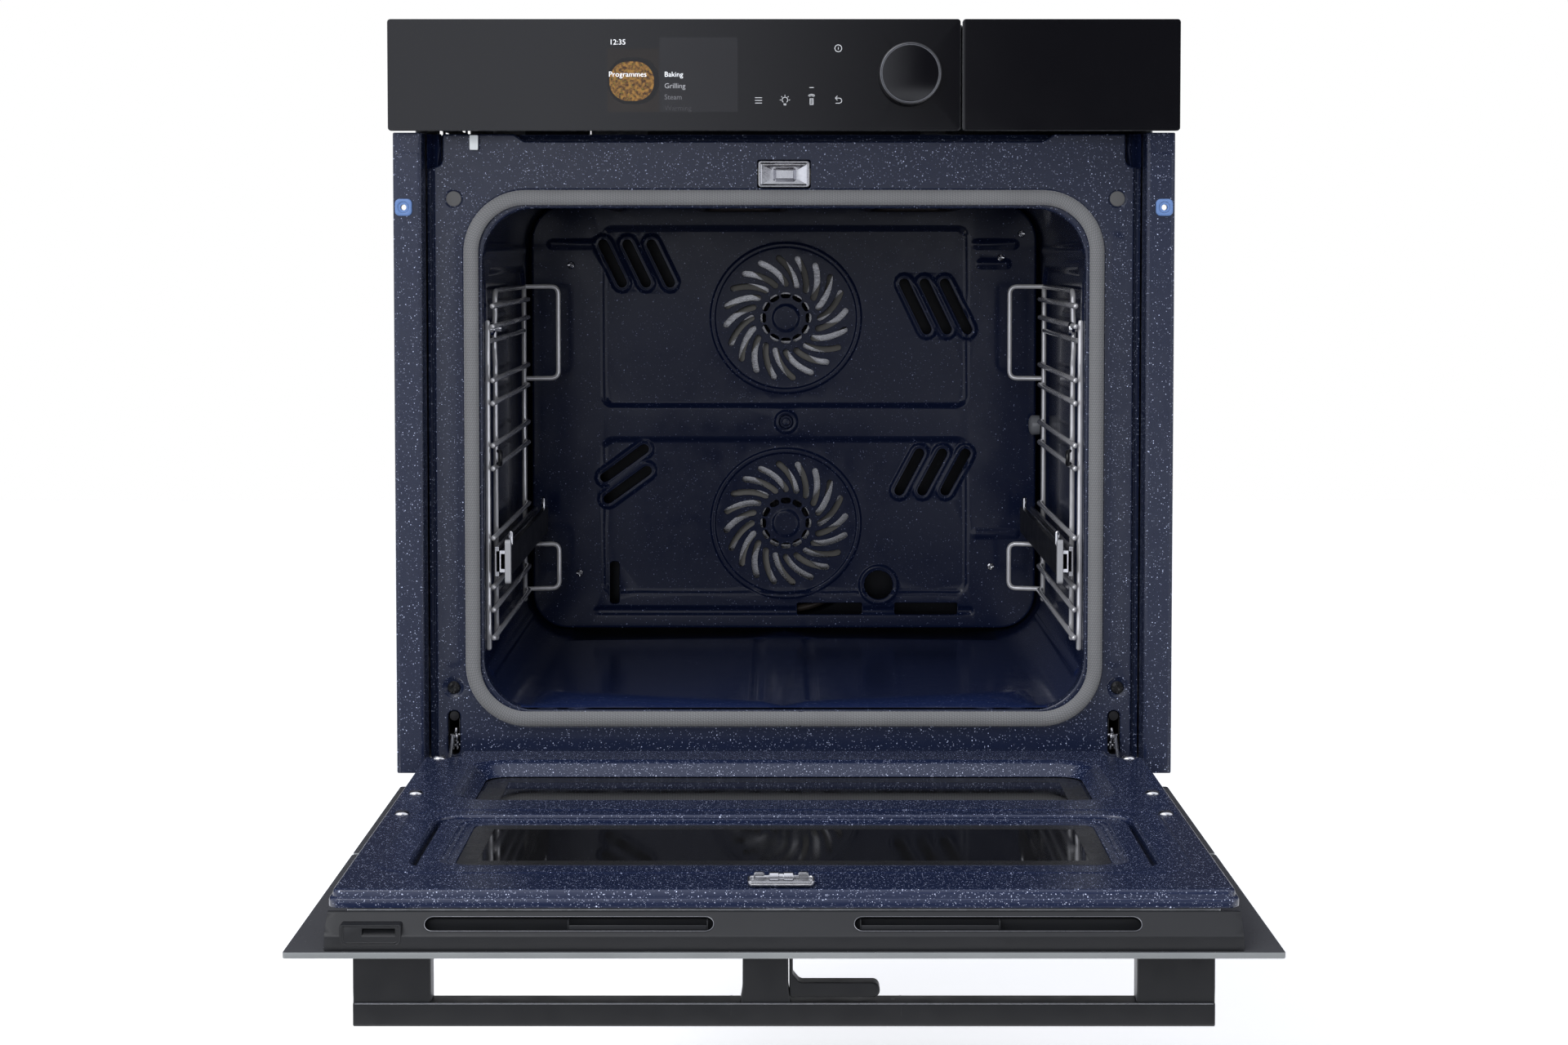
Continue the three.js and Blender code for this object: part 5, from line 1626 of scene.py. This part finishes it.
def screen():
    """Display: a baked dish, the time and a short list of generic words that fades downwards."""
    printed("screen_area", SCREEN, [box2(-93.4, -34.8, 504.3, 560, 0.8, 3)], 0.02)
    printed("screen_photo", SCREEN_PAN, [box2(-132.6, -93.6, 504.3, 551.5, 0.5, 3)], 0.02)
    ellipse = Outline([(-131.0, 512.5), (-97.5, 512.5), (-97.5, 542), (-131.0, 542)], 14, 8)
    rim = Outline([(-132.5, 510), (-93.7, 510), (-93.7, 545), (-132.5, 545)], 16, 8)
    printed("screen_dish_rim", BLACK_PLASTIC, [rim], 0.03)
    printed("screen_dish", DISH, [ellipse], 0.05)
    words("screen_time", "12:35", -131.0, 554.6, 5.6, SCREEN_TEXT)
    words("screen_title", "Programmes", -131.6, 530.6, 5.6, SCREEN_TEXT)
    words("screen_line_a", "Baking", -89.8, 530.6, 5.4, SCREEN_TEXT)
    words("screen_line_b", "Grilling", -89.8, 522.0, 5.4, SCREEN_MID)
    words("screen_line_c", "Steam", -89.8, 513.6, 5.4, SCREEN_DIM)
    words("screen_line_d", "Warming", -89.8, 505.4, 5.4, SCREEN_FAINT)


def arc(cx, cz, r, start, end, steps=14):
    turns = [math.radians(start + (end - start) * k / steps) for k in range(steps + 1)]
    return [(cx + r * math.cos(a), cz + r * math.sin(a)) for a in turns]


def icons():
    """Touch symbols: menu, lamp, remote, back and power."""
    pen = 0.2
    lines = [[(-21.6, z), (-16.6, z)] for z in (510.9, 512.9, 514.9)]
    lines += [arc(0.7, 513.2, 2.1, -50, 230), [(-0.3, 510.3), (1.7, 510.3)], [(-0.1, 509.4), (1.5, 509.4)]]
    lines += [[(0.7 + 3.0 * math.cos(math.radians(a)), 513.2 + 3.0 * math.sin(math.radians(a))),
               (0.7 + 3.7 * math.cos(math.radians(a)), 513.2 + 3.7 * math.sin(math.radians(a)))]
              for a in (0, 45, 90, 135, 180)]
    lines += [[(19.5, 509.7), (21.9, 509.7), (21.9, 514.3), (19.5, 514.3), (19.5, 509.7)],
              arc(20.7, 514.6, 1.9, 35, 145), arc(20.7, 514.6, 2.9, 35, 145), [(19.2, 522.5), (22.2, 522.5)]]
    lines += [[(38.4, 514.6), (41.4, 514.6)] + arc(41.4, 512.7, 1.9, 90, -90) + [(38.8, 510.8)],
              [(40.0, 516.2), (38.4, 514.6), (40.0, 513.0)]]
    printed("touch_icons", ICON, [Stroke(line, pen, 4) for line in lines])
    printed("power_ring", ICON, [(Disc(40.7, 551.8, 2.8, 36), Disc(40.7, 551.8, 2.35, 36))])
    printed("power_bar", ICON, [Stroke([(40.7, 550.9), (40.7, 552.7)], 0.2, 4)])


def knob():
    """Glass-faced knob with a fine bright rim, a satin skirt and its shaft."""
    low, high = KNOB_LOW, KNOB_HIGH
    centre = ((low.x + high.x) / 2, low.y, (low.z + high.z) / 2)
    r, long = (high.x - low.x) / 2, high.y - low.y
    body = turned("knob_body", "knob_ring", KNOB_SKIN, centre,
                  [(0, 1.2), (r - 1.9, 1.2), (r - 1.8, 0.2), (r - 1.2, 0.05), (r - 0.35, 0.5), (r, 1.3),
                   (r, long - 2.6), (r - 0.5, long - 1.2), (r - 1.8, long), (5, long),
                   (5, long - 6), (0, long - 6)],
                  steps=96)
    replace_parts(body, "knob")
    turned("knob_glass", "knob_ring", BLACK_GLASS, centre,
           [(0, 1.1), (r - 2.1, 1.1), (r - 2.05, 0.45), (r - 2.5, 0.22), (r - 2.8, 0.2), (0, 0.14)], steps=96)
    turned("knob_rim", "knob_ring", RIM_METAL_AND_HIGHLIGHT, centre,
           [(r - 1.55, 0.25), (r - 1.3, -0.02), (r - 0.95, 0.05), (r - 0.85, 0.3), (r - 1.2, 0.45)], steps=96)
    low, high = span("knob_shaft")
    shaft = turned("shaft_rod", "knob_plunger", STEEL, (KNOB_X, low.y, KNOB_Z),
                   [(0, 0), (3.4, 0), (3.95, 0.6), (3.95, high.y - low.y - 0.6), (3.4, high.y - low.y),
                    (0, high.y - low.y)], steps=36)
    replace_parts(shaft, "knob_shaft")


def chassis():
    """Moulded housing behind the left glass, with ribs and vent slots along its top."""
    low, high = span("panel_chassis")
    shape = box2(low.x, high.x, low.z, high.z, 1.6, 4)
    vents = [box2(x - 14, x + 14, low.y + 12, low.y + 17, 2.4, 4) for x in range(-240, 121, 40)]
    shell = pressed("chassis_back", "carcass", DARK_PLASTIC, shape, behind(high.y),
                    [(0, low.y - high.y + 0.3), (0, -2), (0.5, -0.6), (1.6, 0)],
                    [(Disc(KNOB_X, KNOB_Z, 5, 24), [(0, -1), (0.4, 0)])],
                    [(box2(low.x + 20, -150, low.z + 14, high.z - 14, 5, 4), [(-3, -2), (0, 0)]),
                     (box2(-130, 60, low.z + 14, high.z - 14, 5, 4), [(-3, -2), (0, 0)])], thickness=1.6)
    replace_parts(shell, "panel_chassis")
    top = box2(low.x + 3, high.x - 3, low.y + 6, high.y - 3, 2, 4)
    pressed("chassis_lid", "carcass", ZINC, top, lying(high.z + 0.7), [(0, -0.6), (0.5, 0)],
            [(v, [(0, -0.5), (0.4, 0)]) for v in vents], thickness=0.5)


panel_faces()
screen()
icons()
knob()
chassis()


# ---- Trims, hinges, casing ----
def side_trims():
    """Folded trims: rounded outer edge, flange on the cabinet, leg back to the front plate."""
    for side, sign in SIDES:
        front, plane, back = deep(18), deep(21), deep(44.5)
        face = box2(*sorted((sign * 275.2, sign * 296.4)), 0.2, TRIM_TOP, 1.2, 5, 40)
        hole = Disc(sign * TRIM_SCREW_X, TRIM_SCREW_Z, 4.3, 28)
        corners = [(276.5, -20), (294.6, -20), (294.6, 474.5), (276.5, 474.5)]
        raised = Outline(corners, [1, 1, 1.6, 1.6], 3, 40)
        raised.points = [Vector((sign * p.x, p.y)) for p in raised.points][::sign]
        raised.radii = raised.radii[::sign]
        piece = pressed(f"trim_face_{side}", "carcass", ENAMEL, face, facing(18),
                        [(0, -2.8), (0, -0.9), (0.25, -0.35), (0.8, 0)],
                        [(hole, [(0, -2.8), (0, -0.4), (0.3, 0)])], [(raised, [(-1.1, 0.5), (0.3, 0)])],
                        thickness=0.8)
        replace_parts(piece, f"side_trim_{side}")
        section = ((275.0, front + 1), (276.3, front + 1), (276.3, back), (275.9, back + 0.1),
                   (275.4, back + 0.1), (275.0, back))
        leg = [[(sign * x, y, z) for x, y in section] for z in (0.2, 160, 320, TRIM_TOP - 0.2)]
        loft(f"trim_leg_{side}", "carcass", ENAMEL, leg)
        section = ((276, plane - 1.2), (296.1, plane - 1.2), (296.4, plane - 0.8), (296.4, plane),
                   (276, plane))
        flange = [[(sign * x, y, z) for x, y in section] for z in (0.2, 428, 438, TRIM_TOP - 0.2)]
        bm = bmesh.new()
        loft_into(bm, flange[:2])
        loft_into(bm, flange[2:])
        finish_mesh(f"trim_return_{side}", bm, "carcass", ENAMEL)


def grommets():
    """Blue rubber grommets for the cabinet screws, with a round recess and a clear hole."""
    for side, sign in SIDES:
        x = sign * TRIM_SCREW_X
        shape = box2(x - 6.5, x + 6.5, TRIM_SCREW_Z - 6.5, TRIM_SCREW_Z + 6.5, 3.6, 7)
        hole = Disc(x, TRIM_SCREW_Z, 2.2, 28)
        pressed(f"screw_grommet_{side}", "carcass", GROMMET_BLUE, shape, facing(15.2),
                [(0, -2.4), (0, -1.0), (0.35, -0.3), (1.1, 0)],
                [(hole, [(0, -5.8), (0, -2.6), (0.3, -2.3), (1.9, -2.2), (2.1, -0.3), (2.5, 0)])],
                thickness=0)
        rings = []
        for r, d in ((2.25, 15.6), (4.1, 15.6), (4.1, 20.9), (2.25, 20.9)):
            rings.append([(x + r * math.cos(2 * math.pi * k / 28), deep(d),
                           TRIM_SCREW_Z + r * math.sin(2 * math.pi * k / 28)) for k in range(28)])
        bm = bmesh.new()
        made = [[bm.verts.new(p) for p in ring] for ring in rings]
        bridge(bm, made + [made[0]])
        finish_mesh(f"grommet_barrel_{side}", bm, "carcass", GROMMET_BLUE)


def hinges():
    """Receivers, fixed arms with their pins, and the leaves that carry the door."""
    for side, sign in SIDES:
        def at(x, d, z):
            return (sign * x, deep(d), z)

        walls = []
        for x0, x1 in ((251.7, 253.0), (260.2, 261.5)):
            walls.append((at(x0, 53.2, 8.1), at(x1, 119.8, 47.8)))
        walls += [(at(251.7, 118.6, 8.1), at(261.5, 119.8, 47.8)),
                  (at(251.7, 53.2, 8.1), at(261.5, 119.8, 9.3))]
        ordered = [(tuple(map(min, a, b)), tuple(map(max, a, b))) for a, b in walls]
        piece = blocks(f"receiver_box_{side}", "carcass", BLACK_PLASTIC, ordered, 0.35)
        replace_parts(piece, f"hinge_receiver_{side}")
        turned(f"receiver_cap_{side}", "carcass", BLACK_PLASTIC, at(255.9, 53.5, 39.4),
               [(0, 3), (4.2, 3), (4.3, -3.5), (3.6, -4.6), (0, -5)])
        arm = Outline([(deep(16), -0.7), (deep(25), -2.3), (deep(46), 10.2), (deep(112), 10.2),
                       (deep(112), 27), (deep(44), 27), (deep(18), 7.7)], [3.5, 3, 4, 2, 3, 6, 3.5], 6)
        x0, x1 = sorted((sign * 255.4, sign * 257.8))
        piece = slab(f"arm_plate_{side}", "carcass", CHROME, arm, beside(x0, 1), 0, x1 - x0, 0.4)
        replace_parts(piece, f"hinge_arm_{side}")
        turned(f"hinge_pin_{side}", "carcass", CHROME, at(250.6, 21, 2.3),
               [(0, 0), (2.6, 0), (3, sign * 0.4), (3, sign * 5.4), (0, sign * 5.4)], "x", 32)
        leaf = Outline([(deep(-119.8), -11.9), (deep(-8), -11.9), (deep(17), -3.6), (deep(26), -2.6),
                        (deep(28), 2.3), (deep(26), 7.2), (deep(17), 8.2), (deep(-8), 6.4),
                        (deep(-119.8), 6.4)],
                       [1.5, 4, 2, 3, 4, 3, 2, 4, 1.5], 5)
        x0, x1 = sorted((sign * 252.2, sign * 254.6))
        bore = Disc(deep(21), 2.3, 3.3, 28)
        piece = slab(f"leaf_plate_{side}", "door", CHROME, leaf, beside(x0, 1), 0, x1 - x0, 0.4, [bore])
        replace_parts(piece, f"hinge_leaf_{side}")
        low, high = span(f"flex_hinge_{side}")
        cup = box2(low.y, high.y, low.z, high.z, 2.5, 5)
        outward = high.x if sign > 0 else low.x
        piece = pressed(f"flex_cup_{side}", "door", DARK_PLASTIC, cup, beside(outward, sign),
                        [(0, -6.8), (0, -1), (0.3, -0.3), (1, 0)], (),
                        [(Disc((low.y + high.y) / 2, 0, 6, 28), [(-2, 0), (-1, -1.5), (0, 0)])],
                        thickness=1.0)
        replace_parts(piece, f"flex_hinge_{side}")


def links():
    """Bright stacked links that show in each hinge slot."""
    for side, sign in SIDES:
        parts = []
        for i, (d, z, tall) in enumerate(((49.5, 12.5, 8), (47.8, 19.0, 6), (49.2, 25.0, 5))):
            x0, x1 = sorted((sign * (252.4 + 0.5 * i), sign * (254.9 + 0.5 * i)))
            parts.append(((x0, deep(d), z), (x1, deep(d + 8), z + tall)))
        blocks(f"hinge_links_{side}", "carcass", CHROME, parts, 0.9)
        tubes(f"hinge_link_pins_{side}", "carcass", CHROME,
              [[(sign * 251.9, deep(52), z), (sign * 259.4, deep(52), z)] for z in (16, 24)], 1.5, 16)


def casing():
    """Galvanised casing: wrap with pressed ribs, rear cover with louvres, and the base plate."""
    half, top = 280, WRAP_TOP
    folded = [(0, -1.1), (0.2, -0.4), (0.8, 0)]
    cut = [(0, -0.8), (0, -0.2), (0.2, 0)]
    for side, sign in SIDES:
        sheet = box2(deep(24), deep(567.8), 0.2, top - 0.6, 1, 3, 80)
        ribs = [(Stroke([(deep(d), 90), (deep(d), 480)], 7), [(-6, -2.0), (1, 0)])
                for d in (130, 250, 370, 490)]
        ribs += [(Stroke([(deep(70), z), (deep(530), z)], 6), [(-5, -1.6), (1, 0)]) for z in (45, 530)]
        slots = [(Stroke([(deep(d), z), (deep(d + 22), z)], 1.8, 5), cut)
                 for z in (496, 505, 514) for d in range(170, 371, 40)]
        piece = pressed(f"wrap_side_{side}", "carcass", ZINC, sheet, beside(sign * half, sign),
                        folded, slots, ribs, thickness=0.9)
        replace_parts(piece, "outer_wrap")
    lid = box2(-half + 0.2, half - 0.2, deep(42), deep(567.8), 1, 3, 80)
    slots = [(Stroke([(x - 20, deep(d)), (x + 20, deep(d))], 3, 6), cut)
             for x in range(-90, 91, 60) for d in (428, 440, 452)]
    ribs = [(Stroke([(x, deep(90)), (x, deep(380))], 8), [(-7, -2.2), (1, 0)])
            for x in range(-210, 211, 105)]
    pressed("wrap_top", "carcass", ZINC, lid, lying(top), folded, slots, ribs, thickness=0.9)
    rear_cover(half)
    floor_sheet = box2(-278.4, 278.4, deep(46), deep(567.9), 2, 3, 80)
    slots = [(Stroke([(x - 22, deep(443)), (x + 22, deep(443))], 3, 6), [(0, -1.2), (0, -0.2), (0.2, 0)])
             for x in (-160, -80, 0, 80, 160)]
    piece = pressed("base_sheet", "carcass", ZINC, floor_sheet, lying(1.45),
                    [(0, -1.4), (0.3, -0.3), (0.9, 0)], slots, (), thickness=1.3)
    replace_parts(piece, "base_plate")


def rear_cover(half):
    """Back of the casing, with louvred slots, the terminal's window and corner screws."""
    low, high = REAR_LOW, REAR_HIGH
    sheet = box2(-half + 0.3, half - 0.3, low.z, high.z - 0.3, 3, 4, 80)
    slots = [(Stroke([(x - 22, z), (x + 22, z)], 2.9, 6), [(0, -1.2), (0, -0.3), (0.3, 0)])
             for x in range(-140, 141, 70) for z in (473, 495)]
    slots.append((box2(-246, -184, 478, 532, 2, 4), [(0, -1.2), (0, -0.3), (0.4, 0)]))
    pressed_in = [(box2(-230, 230, 60, 430, 24, 6, 60), [(-9, -3.2), (0, 0)]),
                  (Disc(FAN_X, FANS["upper"], 46, 48), [(-5, 2.4), (0, 0)]),
                  (Disc(FAN_X, FANS["lower"], 46, 48), [(-5, 2.4), (0, 0)])]
    pressed_in += [(Stroke([(x, 95), (x, 395)], 7), [(-5, 1.8), (0.5, 0)]) for x in (-180, -120, 124, 184)]
    piece = pressed("rear_sheet", "carcass", ZINC, sheet, behind(high.y - 0.1),
                    [(0, -1.4), (0.25, -0.4), (0.9, 0)], slots, pressed_in, thickness=0.9)
    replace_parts(piece, "rear_cover")
    bm = bmesh.new()
    for x in (-268, -90, 90, 268):
        for z in (20, 556):
            screw_head(bm, (x, high.y - 2.0, z), 3.6, 1)
    for z in (150, 290, 430):
        for x in (-268, 268):
            screw_head(bm, (x, high.y - 2.0, z), 3.6, 1)
    finish_mesh("rear_screws", bm, "carcass", STEEL, 30)


def insulation():
    """Lumpy wool blanket wrapped round the cavity, closed at both ends."""
    low, high = span("insulation_jacket")
    rng = random.Random(7)
    outer = box2(-264, 264, 18, 465, 44, 10, 18).contour(-0.3)
    inner = box2(-242, 242, 29.5, 451.5, 40, 10, 18)
    bm = bmesh.new()
    skins = []
    for k in range(24):
        y = low.y + (high.y - low.y) * k / 23
        ring = []
        for p in outer:
            lump = rng.uniform(0.2, 2.4)
            ring.append(bm.verts.new((p.x - math.copysign(lump, p.x), y,
                                      p.y - math.copysign(lump, p.y - 240))))
        skins.append(ring)
    hollow = [[bm.verts.new((p.x, y, p.y)) for p in inner.contour()] for y in (high.y, low.y)]
    bridge(bm, skins)
    bridge(bm, hollow)
    for ring, other in ((skins[-1], hollow[0]), (skins[0], hollow[1])):
        edges = [bm.edges.get((r[i], r[(i + 1) % len(r)])) for r in (ring, other) for i in range(len(r))]
        bmesh.ops.bridge_loops(bm, edges=edges)
    blanket = finish_mesh("insulation_blanket", bm, "carcass", WOOL, 60)
    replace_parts(blanket, "insulation_jacket")


side_trims()
grommets()
hinges()
links()
casing()
insulation()


# ---- Studio ----
def floor():
    """A pale floor below the lowest point that the hanging half of the door reaches."""
    bm = bmesh.new()
    corners = [(-6, -1.3), (6, -1.3), (6, 6), (-6, 6)]
    bm.faces.new([bm.verts.new((x, y, -0.36)) for x, y in corners])
    mesh = bpy.data.meshes.new("studio_floor")
    bm.to_mesh(mesh)
    bm.free()
    plane = bpy.data.objects.new("studio_floor", mesh)
    bpy.context.scene.collection.objects.link(plane)
    g = Graph("floor_paint", Roughness=0.9)
    g.set("Base Color", g.mix(g.noise(3, 2), (0.93, 0.93, 0.93, 1), (0.9, 0.9, 0.9, 1)))
    g.set("Emission Color", (1, 1, 1, 1))
    g.set("Emission Strength", 0.45)
    mesh.materials.append(g.material)


def surroundings():
    """White studio, with dark screens behind and to the right of the camera, for the gloss to reflect."""
    world = bpy.data.worlds.new("studio")
    bpy.context.scene.world = world
    world.use_nodes = True
    tree = world.node_tree
    tree.nodes.clear()
    made = tree.nodes.new
    link = tree.links.new
    direction = made("ShaderNodeTexCoord").outputs["Generated"]
    split = made("ShaderNodeSeparateXYZ")
    link(direction, split.inputs[0])

    def ramp(axis, low, high):
        node = made("ShaderNodeMapRange")
        node.interpolation_type = "SMOOTHSTEP"
        link(split.outputs[axis], node.inputs["Value"])
        node.inputs["From Min"].default_value = low
        node.inputs["From Max"].default_value = high
        return node.outputs[0]

    def combined(operation, a, b):
        node = made("ShaderNodeMath")
        node.operation = operation
        link(a, node.inputs[0])
        link(b, node.inputs[1])
        return node.outputs[0]

    def product(a, b):
        return combined("MULTIPLY", a, b)

    def either(a, b):
        return combined("MAXIMUM", a, b)

    right = product(product(ramp("X", -0.09, 0.1), ramp("X", 0.75, 0.5)), ramp("Z", 0.75, 0.4))
    right = product(right, ramp("Z", 0.0, 0.03))
    low = product(product(ramp("X", -0.09, -0.05), ramp("X", 0.075, 0.03)), ramp("Z", 0.0, -0.05))
    low = either(low, ramp("Z", -0.15, -0.19))
    screen = either(product(either(right, low), ramp("Y", -0.3, -0.6)), ramp("Y", 0.15, 0.4))
    colour = made("ShaderNodeMix")
    colour.data_type = "RGBA"
    link(screen, colour.inputs[0])
    colour.inputs[6].default_value = (1.0, 1.03, 1.12, 1)
    colour.inputs[7].default_value = (0.05, 0.05, 0.06, 1)
    lit = made("ShaderNodeBackground")
    link(colour.outputs[2], lit.inputs["Color"])
    lit.inputs["Strength"].default_value = 1.0
    white = made("ShaderNodeBackground")
    white.inputs["Color"].default_value = (1, 1, 1, 1)
    white.inputs["Strength"].default_value = 1.0
    path = made("ShaderNodeLightPath")
    choose = made("ShaderNodeMixShader")
    link(path.outputs["Is Camera Ray"], choose.inputs[0])
    link(lit.outputs[0], choose.inputs[1])
    link(white.outputs[0], choose.inputs[2])
    link(choose.outputs[0], made("ShaderNodeOutputWorld").inputs[0])


def lamp(name, place, target, size, power, glossy=True):
    """A soft rectangular light, unseen by the camera."""
    data = bpy.data.lights.new(name, "AREA")
    data.shape = "RECTANGLE"
    data.size, data.size_y = size
    data.energy = power
    light = bpy.data.objects.new(name, data)
    bpy.context.scene.collection.objects.link(light)
    light.location = place
    light.rotation_euler = (Vector(target) - Vector(place)).to_track_quat("-Z", "Y").to_euler()
    light.visible_camera = False
    light.visible_glossy = glossy


def camera():
    """Camera straight in front, a little above the middle of the cavity."""
    data = bpy.data.cameras.new("camera")
    data.sensor_width = 36
    data.lens = 63.58
    tilt = 2.87
    data.shift_y = -0.0856
    data.clip_end = 50
    made = bpy.data.objects.new("camera", data)
    bpy.context.scene.collection.objects.link(made)
    made.location = (0, -2.3815, 0.4011)
    made.rotation_euler = (math.radians(90 - tilt), 0, 0)
    bpy.context.scene.camera = made


floor()
surroundings()
lamp("top_left", (-1.6, -1.9, 2.6), (0, -0.3, 0.2), (2.2, 1.6), 45)
lamp("front_fill", (-0.3, -2.9, 0.7), (0, 0, 0.25), (1.0, 0.8), 42, glossy=False)
camera()
view = bpy.context.scene.view_settings
view.view_transform = "Standard"
view.look = "None"
